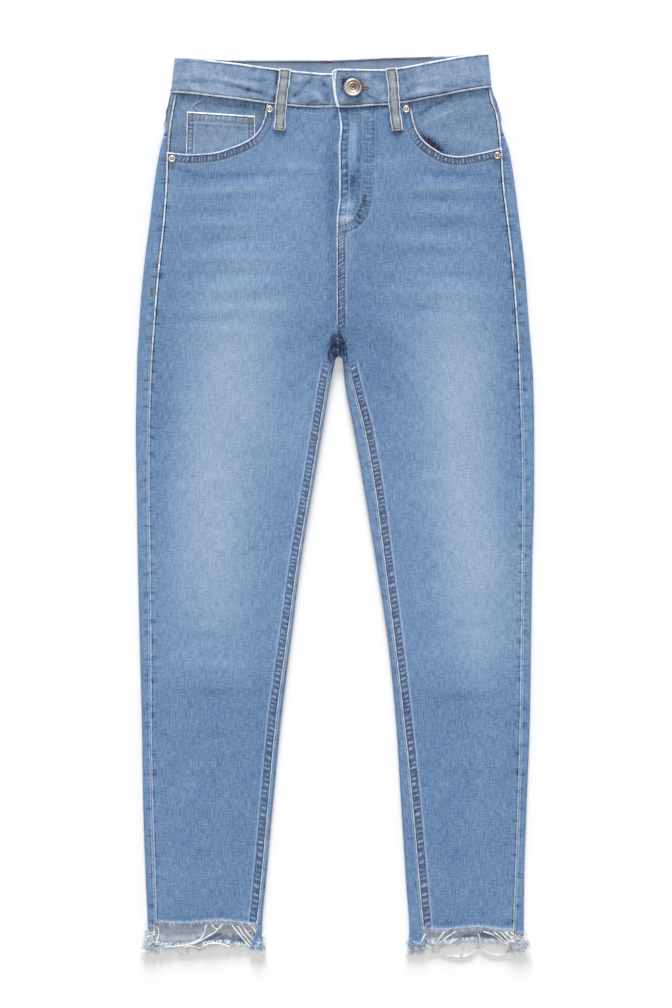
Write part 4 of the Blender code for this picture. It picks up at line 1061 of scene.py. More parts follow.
def makeBack(side):
    name = "backPanel" + side.capitalize()
    crotch = crotchTable(side)
    first = np.array(torsoRow(side, 110, 110))
    meeting = legRow(side, 318.0, crotch)[:len(first)]
    centre = smoothCurve((138, 285, 300, 310, 318), (138, 285, 305.4, 322, meeting[-1][1]))
    top = yokeSeam(first[:, 0]) + seamGap
    rows = []
    for weight in (0, 0.03, 0.06, 0.1, 0.15, 0.21, 0.28, 0.36, 0.46, 0.57, 0.7, 0.85):
        rows.append(bentRow(lambda d: torsoRow(side, d, d), lerp(top, 138.0, weight)))
    rows += [torsoRow(side, d, centre(d)) for d in np.linspace(138, 318, 66)[:-1]]
    rows.append(meeting)
    x, drop, z = asArrays(rows)
    look = backLook(side, x, drop, z, yokeSeam(x))
    upper = layPanel(name + "Seat", x, drop, backRelief(x, drop, z), look, 0)
    rows = [legRow(side, d, crotch) for d in np.linspace(318, legDrop, 22)]
    rows += [legRow(side, d, crotch) for d in np.arange(legDrop + 2.8, frontHem[side] - 24, 2.8)]
    last = len(rows)
    rows += backHemRows(side, crotch)
    x, drop, z = asArrays(rows)
    look = backLook(side, x, drop, z)
    nearCrotch = bell(drop, 330, 26) * bell(x, 4.4, 20) * ease((z + 0.6) / 2)
    hem = drop[-1]
    atHem = (np.arange(len(x)) >= last)[:, None]
    # painted shade over the crotch, lighter along two folds; the raw hem paler
    folds = 0.10 * bell(x, 3.4, 1.0) + 0.08 * bell(x, 8.0, 0.8)
    look["pale"] = look["pale"] - (0.27 - folds) * nearCrotch + 0.34 * ease((drop - hem + 5) / 5) * atHem
    blue = 4 + 7 * bell(x, -128 if side == "right" else 172, 26) + 2 * ripple(x, 17.0, side + "ragged")
    ragged = ease((drop - hem + blue) / 3) * atHem
    look["inside"] = 0.44 - 0.10 * bell(drop, frontHem[side], 4) - 0.30 * ragged
    look["inside"] = look["inside"] - 0.10 * ease((drop - frontHem[side] - 5) / 12)
    z = z + hemCurl(side, x, drop) * ease((2.6 - z) / 2) * atHem
    lower = layPanel(name, x, drop, backRelief(x, drop, z), look, 0)
    bm = bmesh.new()
    bm.from_mesh(lower.data)
    bm.from_mesh(upper.data)
    bmesh.ops.remove_doubles(bm, verts=bm.verts, dist=2e-6)
    bm.to_mesh(lower.data)
    bm.free()
    bpy.data.objects.remove(upper)
    thicken(lower, cloth)
    return finish(lower, "back_" + side, (denim, innerDenim))


hemLift = {"right": 1.6, "left": 2.2}


def hemCurl(side, x, drop):
    # the back's raw edge lifts off the table
    lift = hemLift[side] + 0.6 * ripple(x, 60.0, side + "curl")
    return lift * ease((drop - frontHem[side] - 2) / (backHem[side] - frontHem[side] - 3)) ** 2


def backHemRows(side, crotch):
    # the raw hem: level with the front at the side seam, longer underneath and at the inseam
    x, _, z = (np.array(values) for values in zip(*legRow(side, backHem[side], crotch)))
    first, last = x[stripSteps + arcSteps], x[-stripSteps - arcSteps]
    share = np.clip((x - first) / (last - first), 0, 1)
    low = backHem[side] + hemWave(side, share) + hemTatter(share, "back" + side)
    bites = 1.5 * hemTatter(x / 120, "roll" + side)
    roll = np.where(share < 0.5, frontHem[side] + 4, backHem[side] + 5) + bites
    hem = lerp(low, roll, ease((z - 0.8) / 3.2))
    rows = []
    for weight in np.linspace(0, 1, 17)[1:]:
        rows.append(bentRow(lambda d: legRow(side, d, crotch), lerp(frontHem[side] - 24, hem, weight)))
    return rows


def makeYoke(side):
    first = np.array(torsoRow(side, 62, 62))
    x, z = first[:, 0], first[:, 2]
    edge = lerp(bandBottom("back", x), bandBottom(side, x), ease((z - 3) / 3)) + seamGap + 0.8
    foot = yokeSeam(np.array(torsoRow(side, 110, 110))[:, 0])
    x, drop, z = asArrays([bentRow(lambda d: torsoRow(side, d, d), lerp(edge, foot, weight))
                           for weight in np.linspace(0, 1, 18)])
    fromSide, fromEnd = pathLengths(x, drop, z)
    look = wearFrom([
        seamAt(fromSide, drop, worn=0.1, bars=0.8), seamAt(fromEnd, drop, worn=0.6, bars=0.4),
        seamAt(np.clip(drop - drop[0], 0, None) + 1.0, fromSide, bars=1.0),
    ])
    look["weave"] = np.stack((fromSide * 0.9 + drop * 0.3, drop - fromSide * 0.15), -1)
    look["pale"] = 0.33 + 0.03 * bell(drop, 84, 14) - 0.12 * bell(fromSide, 0, 1.8)
    piece = layPanel("yoke" + side.capitalize(), x, drop, z, look, cloth)
    return finish(piece, "back_yoke_" + side, (denim, innerDenim))


backs = {side: makeBack(side) for side in sides}
yokes = {side: makeYoke(side) for side in sides}
print("backs laid", [round(sheetArea(p), 4) for p in (*backs.values(), *yokes.values())])

backPocket = {"x": 100.0, "halfWidth": 66.0, "top": 136.0, "tip": 284.0, "taper": 0.86, "point": 22.0,
              "cloth": 0.95}


def backPocketEdges(sign):
    # its outline, from one top corner round the point to the other
    middle, half = sign * backPocket["x"], backPocket["halfWidth"]
    low = half * backPocket["taper"]
    foot = backPocket["tip"] - backPocket["point"]
    return [(middle - half, backPocket["top"]), (middle - low, foot), (middle, backPocket["tip"]),
            (middle + low, foot), (middle + half, backPocket["top"])]


def makeBackPocket(side):
    middle, half = sides[side] * backPocket["x"], backPocket["halfWidth"]
    across, downs = closeSteps(132.0, 4.0) * 2 - 1, closeSteps(140.0, 4.0)[:, None]
    foot = backPocket["tip"] - backPocket["point"] * np.abs(across)
    drop = lerp(backPocket["top"], foot, downs)
    width = lerp(half, half * backPocket["taper"], downs)
    x = middle + across * width
    toEdge = np.minimum(drop - drop[0], drop[-1] - drop)
    toEdge = np.minimum(toEdge, (1 - np.abs(across)) * width)
    z = 0.30 * bell(toEdge, 0, 0.9) + 0.12 * bell(toEdge, 2.4, 0.7)
    look = wearFrom([
        besideLine(backPocketEdges(sides[side]), x, drop, worn=0.95, rope=0.7),
        besideLine([(middle - half, backPocket["top"]), (middle + half, backPocket["top"])], x, drop,
                   worn=1.0, rope=0.6, scale=0.7),
    ])
    look["weave"] = np.stack((x, drop), -1)
    look["pale"] = 0.36 + 0.10 * bell(drop, 215, 50) * bell(x, middle, 45)
    piece = layPanel("backPocket" + side.capitalize(), x, drop, z, look, backPocket["cloth"], up=False)
    return finish(piece, "back_pocket_" + side, (denim, innerDenim))


backPockets = {side: makeBackPocket(side) for side in sides}

# waistband
button = {"x": 20.0, "drop": 38.6, "radius": 10.2, "height": 4.6}
band = {"cloth": 2.2, "level": 8.1, "flare": 4.4, "half": 179.0, "slant": 5.1, "leftFold": 171.4,
        "rightFold": -179.2}
# the waistband's creases, whose paleness is painted shade and highlight along each one
bandCreases = (
    (-152, 32, 28, 3.4, 0, -0.5, -0.08), (-100, 40, 38, 3.6, -0.26, -0.6, -0.13),
    (-110, 33, 36, 4.4, -0.24, 0.4, 0.06), (-124, 47, 50, 5, -0.18, 0.35, 0.06),
    (-84, 30, 18, 3, 0, -0.4, -0.09), (-160, 24, 20, 4.5, 0.1, 0.3, 0.04),
    (-64.5, 28, 4.5, 11, 0, -0.2, -0.07), (-68, 52, 5, 8, 0, -0.2, -0.07),
    (-20, 47, 11, 6, -0.5, 0.3, 0.09), (-33, 36, 12, 3.6, 0.9, -0.4, -0.09),
    (-42, 46, 11, 3.6, 0.5, -0.3, -0.07), (-36, 28, 14, 4, 0.3, 0.3, 0.07),
    (-12, 34, 7, 4, -0.8, -0.3, -0.08), (-26, 56, 14, 3.4, 0.2, -0.3, -0.07),
    (129, 37, 16, 3.2, 0.05, -0.4, -0.09), (96, 43, 24, 4.4, 0.15, 0.4, 0.08),
    (152, 33, 16, 3.4, 0.1, -0.3, -0.06), (41, 50, 14, 3.6, -0.7, -0.4, -0.1),
    (51, 38, 12, 4, 0.3, 0.3, 0.08), (76, 26, 4.5, 11, 0, -0.2, -0.06), (108, 30, 26, 4, 0.12, 0.3, 0.05),
    (140, 24, 22, 4, 0.2, 0.25, 0.05), (88, 51, 20, 3.6, 0.16, -0.3, -0.08), (10, 51, 8, 4, 0.5, 0.3, 0.08),
    (44, 27, 14, 3.6, 0.2, -0.3, -0.08), (118, 46, 22, 3.4, 0.16, -0.3, -0.06),
    (36, 26, 9, 4, -0.4, 0.3, 0.09), (9, 30, 5, 9, 0, -0.3, -0.06), (56, 50, 5, 6, 0, 0.3, 0.09),
    (82, 40, 6, 8, 0.3, -0.2, -0.06), (-14, 24, 10, 3.4, 0.6, 0.3, 0.07),
    (-48, 54, 12, 3.4, -0.3, 0.3, 0.06), (-8, 50, 4, 9, 0, -0.3, -0.07), (-56, 34, 9, 3.4, -0.6, 0.3, 0.06),
    (26, 54, 10, 3, 0.3, -0.3, -0.06),
)


def bandHeight(side, x):
    # the left end lies over the right one
    if side == "left":
        return band["level"] + 1.3 * ease((62.0 - x) / 24)
    return band["level"] - 1.2 * ease((x + 24.0) / 16)


def bandSection():
    # once round the waist: x, which table it follows, level, and how far the cloth faces up
    rest = loft["rest"](30)
    radius = (band["level"] - rest) / 2
    left, right = band["leftFold"] - radius, band["rightFold"] + radius

    def turn(half, middle, first):
        return [(middle + radius * math.cos(a), half, rest + radius + radius * math.sin(a), math.sin(a))
                for a in np.linspace(first, first - math.pi, 11)]

    start = [-3.4, -2.4, -1.4, -0.4, 0.6, 1.6, 2.6, 3.8, 5, 6.4] + list(np.arange(8, left - 1, 1.6))
    section = [(x, "left", bandHeight("left", x), 1.0) for x in start] + turn("left", left, math.pi / 2)
    section += [(x, "back", rest, -1.0) for x in np.linspace(left, right, 118)[1:-1]]
    section += turn("right", right, -math.pi / 2)
    return section + [(x, "right", bandHeight("right", x), 1.0) for x in np.arange(right + 1.5, 34.1, 1.6)]


def makeWaistband():
    section = bandSection()
    x0, half, z0, facing = (np.array(values) for values in zip(*section))
    atDrop, high = (np.array([bands[part][key](x) for x, part, *_ in section]) for key in ("drop", "height"))
    isLeft, onTop = (half == "left") & (facing == 1), facing > 0.9
    downs = closeSteps(40.0, 1.3, near=(0, 0.7, 1.4, 2.2, 3.0, 4.0, 5.2, 6.4))[:, None]
    x = x0 + band["flare"] * downs * (x0 / band["half"]) ** 3
    x = x + np.where(isLeft, band["slant"] * downs ** 2.4 * ease((8 - x0) / 11), 0.0)
    corner = np.clip((3.0 - x0) / 6.6, 0, 1) ** 2 * isLeft
    drop = atDrop + high * downs + 3.0 * corner * np.clip(1 - downs * 9, 0, 1)
    toEdge = np.minimum(downs, 1 - downs) * high
    bulge = 0.15 * ease((toEdge - 2.8) / 3) - 0.35 * bell(toEdge, 0, 0.8) - 0.20 * bell(toEdge, 2.5, 0.6)
    relief = np.where(onTop, creased(bandCreases, x, drop, "height") * 0.8 + bulge, 0.0)
    relief = relief - np.where(facing < -0.9, bulge, 0.0) * 0.5
    run, _ = pathLengths(x, drop, z0 + 0 * x)
    leftEnd = list(zip(x[:, 0], drop[:, 0]))
    ridge = [(a + 5.2 - 0.05 * (b - 17) - 2.0 * math.sin(math.pi * (b - 17) / 43), b) for a, b in leftEnd]
    onLeft = np.where(isLeft, x, 999.0)  # everything else lies far from the left end
    sharp = 1.0 - 0.75 * (facing > 0) * ease((-132 - x) / 22)
    look = wearFrom([
        seamAt(downs * high - 0.3 + 0 * x, run, worn=sharp, bars=0.25),
        seamAt((1 - downs) * high - 0.1 + 0 * x, run + 500, worn=1.0, bars=0.25),
        besideLine(leftEnd, onLeft, drop, worn=1.0), besideLine(ridge, onLeft, drop, 0.7, worn=1.0),
    ])
    look["weave"] = np.stack((run, drop - atDrop), -1)
    pale = 0.33 + 0.10 * bell(x, -146, 46) + 0.05 * bell(x, 146, 34) + 0.03 * bell(x, 110, 30)
    pale = pale + 0.20 * isLeft * ease((x0 + 6.0) / 3) * ease((2.4 - x0) / 2)
    # a painted shadow in a ring round the button
    fromButton = np.hypot(x - button["x"] + 1.0, drop - button["drop"] + 0.6)
    pale = pale - 0.22 * isLeft * bell(fromButton, button["radius"] + 0.6, 1.7)
    # painted shade and highlight along the creases, and the belt loops' painted shadows
    marks = 2.1 * creased(bandCreases, x, drop, "pale")
    for side, half in (("right", x < 0), ("left", x > 0)):
        marks = marks + np.where(half, loopShadow(side, x, drop), 0.0)
    look["pale"] = pale + np.where(onTop, marks, 0.0)
    look["inside"] = 0.36 + 0.05 * ripple(x, 60.0, "inner") - 0.16 * bell(toEdge, 0, 2.0)
    piece = layPanel("waistbandCloth", x, drop, z0 + relief, look, band["cloth"])
    return finish(piece, "waistband", (waistDenim, bandInside))


waistband = makeWaistband()
print("waistband laid", round(sheetArea(waistband), 4))

# belt loops
loop = {"width": 12.6, "cloth": 1.5}


def frontLoopHeight(side):
    # rides over the waistband and steps down to the front below it
    def height(x, drop):
        edge, over = bandBottom(side, x), bandHeight(side, x)
        below = np.maximum(coverHeight(side, x, np.maximum(drop, edge + 1)) + 0.2, over - 0.9)
        bow = 0.5 * np.sin(math.pi * np.clip((drop - edge + 42) / 56, 0, 1))
        upper = lerp(over, below, ease((drop - edge - 3) / 7))
        return upper + layerGap + loop["cloth"] + bow + 0.25 * ease((drop - edge) / 10)
    return height


def makeLoop(place):
    top, foot = loopEnds[place]
    name, onTop = "beltLoop" + place[0].upper() + place[1:], place.startswith("front")
    node = "".join("_" + letter.lower() if letter.isupper() else letter for letter in name)
    along = Vector(foot) - Vector(top)
    side = Vector((-along.y, along.x)).normalized() * loop["width"] / 2
    across = np.linspace(-1, 1, 19)
    downs = closeSteps(along.length, 1.8, near=(0, 0.6, 1.2, 2.0, 3.0, 4.2))[:, None]
    x = top[0] + along.x * downs + side.x * across + 0.5 * np.sin(downs * 7.5 + top[0])
    x = x + 0.45 * np.sign(across) * across ** 2 * ripple(downs * 70, 22.0, name)
    drop = top[1] + along.y * downs + side.y * across
    toEdge = (1 - np.abs(across)) * loop["width"] / 2 + 0 * x
    toEnd = np.minimum(downs, 1 - downs) * along.length + 0 * x
    shape = 0.20 * bell(across, 0, 0.45) - 0.35 * bell(toEdge, 0, 0.6) - 0.2 * bell(toEdge, 2.2, 0.6)
    shape = shape - 0.3 * bell(toEnd, 0, 0.8)
    z = frontLoopHeight(place[5:].lower())(x, drop) + shape if onTop else -0.5 * shape
    run = downs * along.length + 0 * x
    look = wearFrom([seamAt(toEdge * 1.35, run + x[0, 0], worn=1.0), seamAt(toEnd, x, worn=0.8)])
    look["weave"] = np.stack((x * 1.2, run), -1)
    look["pale"] = 0.45 + 0.08 * ripple(run, 14.0, name) - 0.20 * bell(toEdge, 2.3, 0.8)
    look["pale"] = look["pale"] - 0.12 * bell(run, run[-1], 3.5)
    piece = layPanel(name, x, drop, z, look, loop["cloth"], up=onTop)
    return finish(piece, node, (loopDenim, loopDenim))


loopSteps = (
    (0, 60, 70, 92), (0.15, 96, 108, 128), (0.3, 128, 138, 150), (0.45, 152, 162, 172),
    (0.6, 172, 181, 190), (0.78, 202, 208, 214), (0.95, 234, 237, 240),
)
loopDenim = denimMaterial("beltLoopDenim", loopSteps, slub=1.5, crumple=0.55)
loops = {place: makeLoop(place) for place in loopEnds}
print("belt loops laid", [round(sheetArea(p), 5) for p in loops.values()])

# button, rivets and zip


def spinProfile(name, node, profile, size, centre, material, steps=64, tilt=None):
    # profile: shares of the radius and of the height
    bm = bmesh.new()
    verts = [bm.verts.new((size[0] * r * mm, 0, size[1] * h * mm)) for r, h in profile]
    for a, b in zip(verts, verts[1:]):
        bm.edges.new((a, b))
    bmesh.ops.spin(bm, geom=bm.verts[:] + bm.edges[:], cent=(0, 0, 0), axis=(0, 0, 1), angle=math.tau,
                   steps=steps, use_merge=True)
    bmesh.ops.remove_doubles(bm, verts=bm.verts, dist=1e-7)
    bmesh.ops.recalc_face_normals(bm, faces=bm.faces)
    x, drop, z = centre
    if tilt:
        turn = Matrix.Rotation(math.radians(tilt[0]), 3, tilt[1])
        bmesh.ops.rotate(bm, verts=bm.verts, cent=(0, 0, 0), matrix=turn)
    bmesh.ops.translate(bm, verts=bm.verts, vec=Vector((x, length / 2 - drop, z)) * mm)
    mesh = meshFrom(bm, name)
    mesh.shade_smooth()
    mesh.set_sharp_from_angle(angle=math.radians(40))
    return finish(addObject(name, mesh), node, (material,))


def makeButton():
    profile = (
        (0, 0), (0.6, 0), (0.64, 0.26), (0.9, 0.32), (0.985, 0.44), (1, 0.58), (0.985, 0.74), (0.94, 0.88),
        (0.87, 0.97), (0.8, 1), (0.735, 0.95), (0.7, 0.84), (0.665, 0.74), (0.62, 0.73), (0.59, 0.8),
        (0.55, 0.88), (0.5, 0.9), (0.45, 0.86), (0.42, 0.76), (0.38, 0.66), (0.33, 0.65), (0.3, 0.72),
        (0.27, 0.78), (0.22, 0.78), (0.19, 0.7), (0.15, 0.6), (0.08, 0.57), (0, 0.58),
    )
    centre = button["x"], button["drop"], bandHeight("left", button["x"]) + layerGap + 0.5
    return spinProfile("waistButton", "button", profile, (button["radius"], button["height"]), centre, brass,
                       tilt=(8, Vector((-1, 0.8, 0))))


rivet = {"radius": 4.0, "height": 1.7, "places": (
    ("right", "top", -73.2, 62.6, rivetBrass), ("right", "side", -182.4, 118.0, rivetBrass),
    ("left", "top", 79.6, 62.6, rivetBrass), ("left", "side", 181.6, 114.6, copper))}


def makeRivets():
    profile = (
        (0, 0), (0.98, 0), (1, 0.2), (0.99, 0.42), (0.93, 0.66), (0.84, 0.84), (0.72, 0.9), (0.6, 0.84),
        (0.5, 0.62), (0.42, 0.44), (0.34, 0.42), (0.26, 0.52), (0.19, 0.74), (0.11, 0.94), (0, 1),
    )
    for side, end, x, drop, metal in rivet["places"]:
        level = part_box(f"rivet_{side}_{end}")[0][2] / mm
        spinProfile(f"rivet{side.capitalize()}{end.capitalize()}", f"rivet_{side}_{end}", profile,
                    (rivet["radius"], rivet["height"]), (x, drop, level), metal, steps=40)


def joinedCopies(name, template, placements):
    # many copies of one small shape, each turned and set by its own matrix, as one mesh
    mesh = bpy.data.meshes.new(name)
    template.verts.ensure_lookup_table()
    points = np.array([tuple(vert.co) + (1.0,) for vert in template.verts])
    faces = np.array([[vert.index for vert in face.verts] for face in template.faces])
    matrices = np.array([np.array(matrix) for matrix in placements])
    moved = np.einsum("mij,pj->mpi", matrices, points)[..., :3].reshape(-1, 3)
    offsets = np.arange(len(placements))[:, None, None] * len(points)
    mesh.from_pydata(moved.tolist(), [], (faces[None] + offsets).reshape(-1, faces.shape[1]).tolist())
    mesh.shade_smooth()
    return addObject(name, mesh)


chain = {"head": 68.0, "foot": 174.0, "x": 15.4, "inner": 7.2, "outer": 28.0, "cloth": 0.6, "pitch": 1.3,
         "tooth": (3.4, 0.95, 0.5)}


def makeZip():
    # the closed zip behind the fly: a tape, and a chain of teeth along its middle
    drop, x = np.meshgrid(np.linspace(chain["head"], chain["foot"], 60),
                          np.linspace(chain["inner"], chain["outer"], 21), indexing="ij")
    z = loft["top"](drop) + 0.5 - cloth - layerGap - 0.05 - 0.15 * bell(x, 16, 3)
    look = {"weave": np.stack((x * 2, drop), -1), "seam": np.stack((drop, 20 + 0 * x), -1), "pale": 0.05}
    tape = layPanel("zipTape", x, drop, z, look, chain["cloth"])
    finish(tape, "zip", (zipCloth, zipCloth))
    bm = bmesh.new()
    bmesh.ops.create_cube(bm, size=1.0)
    bmesh.ops.scale(bm, verts=bm.verts, vec=Vector(chain["tooth"]) * mm)
    bmesh.ops.bevel(bm, geom=bm.edges[:], offset=0.12 * mm, affect="EDGES", segments=1, profile=0.5,
                    material=-1)
    bmesh.ops.triangulate(bm, faces=bm.faces)
    spots = []
    for k, at in enumerate(np.arange(chain["head"] + 2, chain["foot"] - 2, chain["pitch"])):
        level = loft["top"](at) + 0.5 - cloth - layerGap - 0.95
        spots.append(Matrix.Translation(Vector((chain["x"] + 1.2 * (k % 2), length / 2 - at, level)) * mm))
    teeth = joinedCopies("zipTeeth", bm, spots)
    bm.free()
    teeth.data.shade_flat()
    finish(teeth, None, (brass,))
    return tape


zipCloth = denimMaterial("zipTapeCloth", ((0.0, 34, 46, 72), (1.0, 62, 78, 108)), slub=0.5)
makeButton()
makeRivets()
zipTape = makeZip()
print("button, rivets and zip made")

# stitches
stitch = {"pitch": 3.0, "thick": 0.62, "lift": 0.12, "share": 0.76, "margin": 0.5}
onFront = {side: partial(frontHeight, side) for side in sides}
backLining = loft["rest"](30) + band["cloth"]  # the inside of the waistband's back half
onLining = lambda x, drop: backLining
onUnderside = lambda x, drop: loft["rest"](30)
onTable = lambda x, drop: 0.12


def lineAlong(points, pitch):
    # evenly spaced stitches on a line: their two ends, as (x, drop) pairs
    line, at = denseLine(points, 0.5)
    reach = at[-1] - 2 * stitch["margin"]
    count = max(1, int(reach / pitch))
    starts = stitch["margin"] + (np.arange(count) + 0.12) * reach / count
    ends = starts + reach / count * stitch["share"]
    pick = lambda where: np.stack([np.interp(where, at, line[:, k]) for k in (0, 1)], 1)
    return pick(starts), pick(ends)


def stitchMatrices(starts, ends, height, up=1.0, thick=stitch["thick"], lift=stitch["lift"]):
    made = []
    starts, ends = np.array(starts, float), np.array(ends, float)
    levels = [np.zeros(len(points)) + height(*points.T) for points in (starts, ends)]
    for (x0, d0), (x1, d1), z0, z1 in zip(starts, ends, *levels):
        a = Vector((x0, length / 2 - d0, z0 + up * lift)) * mm
        b = Vector((x1, length / 2 - d1, z1 + up * lift)) * mm
        along = b - a
        forward = along.normalized()
        above = Vector((0, 0, up))
        sideways = above.cross(forward).normalized()
        above = forward.cross(sideways)
        axes = forward * along.length / 2, sideways * thick * mm / 2, above * thick * mm / 2
        made.append(Matrix.Translation((a + b) / 2) @ Matrix(axes).transposed().to_4x4())
    return made


def offsetLine(points, away):
    # the same line moved sideways, to the left of its direction
    points = np.array(points, float)
    along = np.gradient(points, axis=0)
    along /= np.hypot(*along.T)[:, None]
    return points + np.stack((-along[:, 1], along[:, 0]), 1) * away


def barTack(start, end, width, count):
    # dense stitches laid across a short line
    start, end = np.array(start, float), np.array(end, float)
    along = (end - start) / np.hypot(*(end - start))
    across = np.array((-along[1], along[0])) * width / 2
    middles = [lerp(start, end, (k + 0.5) / count) for k in range(count)]
    return [m - across for m in middles], [m + across for m in middles]


def sew(name, rows, material, pitch=stitch["pitch"], thick=stitch["thick"]):
    # rows: (points, height, up)
    placements = []
    for points, height, up in rows:
        placements += stitchMatrices(*lineAlong(points, pitch), height, up, thick)
    return addStitches(name, placements, material)


def addStitches(name, placements, material):
    bead = bmesh.new()
    bmesh.ops.create_icosphere(bead, subdivisions=1, radius=1.0)
    piece = joinedCopies(name, bead, placements)
    bead.free()
    return finish(piece, None, (material,))


def frontRows(side):
    sign, on = sides[side], onFront[side]
    rows = [(flyCurve["inner"][:4], on, 1)] if side == "left" else []
    mouth = [(sign * far, d) for far, d in mouthLine(side)]
    rows += [(offsetLine(mouth, -sign * away), on, 1) for away in (3.0, 9.2)]
    at = np.arange(crotchDrop + 34, frontHem[side] - 3, 6.0)
    return rows + [(list(zip(legs[side]["seamIn"](at) + sign * away, at)), on, 1) for away in (2.5, 9.2)]


def flyRows():
    lines = [((centreFront + away, 183), (centreFront + away, 308)) for away in (2.4, 9.9)]
    return [(line, onFront["left"], 1) for line in (*lines, flyCurve["outer"], flyCurve["inner"][3:])]


def bandRows():
    rows = []
    for side, first, last in (("left", 4.0, 165.0), ("right", -172.0, -3.0)):
        x = np.arange(first, last, 5.0)
        for share in (0.086, 0.914):
            line = zip(x + band["flare"] * share * (x / band["half"]) ** 3,
                       bands[side]["drop"](x) + bands[side]["height"](x) * share)
            rows.append((list(line), lambda x, drop, side=side: bandHeight(side, x) - 0.02, 1))
    x = np.arange(-170, 166, 6.0)
    for share in (0.066, 0.934):
        line = list(zip(x, bands["back"]["drop"](x) + bands["back"]["height"](x) * share))
        rows.append((line, onUnderside, -1))
    return rows


def backBandRow():
    x = np.arange(-150, 110, 6.0)
    return [(list(zip(x, bands["back"]["drop"](x) + 1.2)), onLining, 1)]


def loopRows():
    rows = []
    for place, ends in loopEnds.items():
        on, up = (frontLoopHeight(place[5:].lower()), 1) if place.startswith("front") else (onTable, -1)
        rows += [(offsetLine(ends, away), on, up) for away in (-4.1, 4.1)]
    return rows


def coinRows():
    top = [(coin["outerX"], coin["outerDrop"]), (coin["innerX"], coin["innerDrop"])]
    rows = [(offsetLine(top, away), coinHeight, 1) for away in coin["rows"]]
    for away in coin["sideRows"]:
        outer, inner = coin["outerX"] + away, coin["innerX"] - away
        rows.append((((outer, 66), (outer - 1.6, 114)), coinHeight, 1))
        rows.append((((inner, 71), (inner, 94)), coinHeight, 1))
    return rows


def backRows():
    rest = lambda x, drop: loft["rest"](drop)
    rows = []
    x = np.arange(-180, 181, 6.0)
    for away in (2.4, 9.0):
        rows.append((list(zip(x, yokeSeam(x) + away)), rest, -1))
        rows.append((((centreBack + away, 126), (centreBack + away, 318)), rest, -1))
    for sign in sides.values():
        edge = np.array(backPocketEdges(sign))
        middle = edge.mean(0)
        rows += [(middle + (edge - middle) * shrink, onTable, -1) for shrink in (0.965, 0.87)]
        x, low, half = sign * backPocket["x"], backPocket["top"] + 13, backPocket["halfWidth"] - 2
        rows.append((((x - half, low), (x + half, low)), onTable, -1))
    return rows


for side in sides:
    sew("frontStitches" + side.capitalize(), frontRows(side), threads["dusk"])
sew("bandStitches", bandRows(), threads["dusk"])
sew("loopStitches", loopRows(), threads["brown"])
sew("coinStitches", coinRows(), threads["umber"], pitch=2.6, thick=1.0)
sew("flyStitches", flyRows(), threads["umber"], thick=0.9)
sew("backBandStitches", backBandRow(), threads["umber"], pitch=2.4, thick=2.1)
sew("backStitches", backRows(), threads["dusk"])


def tack(level, *barAndCount, **look):
    return stitchMatrices(*barTack(*barAndCount), level, **look)


def makeTacks():
    left, right = onFront["left"], onFront["right"]
    crossing = lambda x, drop: np.maximum(left(x, drop), right(x, drop))
    gold = []
    for side in sides:
        top, foot = (Vector(end) for end in loopEnds["front" + side.capitalize()])
        along = (foot - top).normalized()
        across = Vector((-along.y, along.x)) * 5.0
        for near in (foot - along * 2.6, top + along * 2.0):
            gold += tack(frontLoopHeight(side), near - across, near + across, 3.2, 14)
    for x, drop in ((coin["outerX"] + 4.5, 67.5), (coin["innerX"] - 4.5, 72.5)):
        for half, low, width, count in ((3.6, drop, 3.4, 9), (2.6, drop + 4.4, 2.6, 6)):
            gold += tack(coinHeight, (x - half, low), (x + half, low), width, count)
    addStitches("cornerTacks", gold, threads["gold"])
    fly = tack(left, (33.6, 157), (32.6, 171.5), 5.6, 7, thick=1.1)
    fly += tack(left, (centreFront + 2, 310.5), (centreFront + 9.5, 310.5), 1.6, 9)
    addStitches("flyTacks", fly + tack(crossing, (-2.4, 317.8), (11.4, 317.2), 1.5, 13), threads["umber"])
    hips = tack(right, (-204.8, 262), (-205.6, 270), 3.2, 12, lift=0.3)
    hips += tack(left, (205.8, 254), (206.6, 262), 3.2, 12, lift=0.3)
    addStitches("sideTacks", hips, threads["tan"])
    addStitches("backBandTack", tack(onLining, (-17.0, 9.4), (-1.5, 9.4), 3.6, 22), threads["rust"])


buttonhole = {"x": (28.0, 35.4), "drop": 38.8, "slit": 0.7, "reach": 2.8, "pitch": 0.55}


def makeButtonhole():
    # satin stitches round the slit that the button passes through
    (x0, x1), drop, reach = buttonhole["x"], buttonhole["drop"], buttonhole["reach"]
    starts, ends = [], []
    for x in np.arange(x0, x1, buttonhole["pitch"]):
        for way in (-1, 1):
            starts.append((x, drop - way * buttonhole["slit"]))
            ends.append((x, drop + way * reach))
    for angle in np.linspace(-math.pi / 2, math.pi / 2, 10):
        dx, dd = math.cos(angle), math.sin(angle)
        starts.append((x1 + dx * 0.35, drop + dd * 0.35))
        ends.append((x1 + dx * reach, drop + dd * reach))
    level = lambda x, drop: bandHeight("left", x) + 0.05
    addStitches("buttonholeStitches", stitchMatrices(starts, ends, level, thick=0.9), threads["rust"])


makeTacks()
makeButtonhole()
print("stitches sewn")

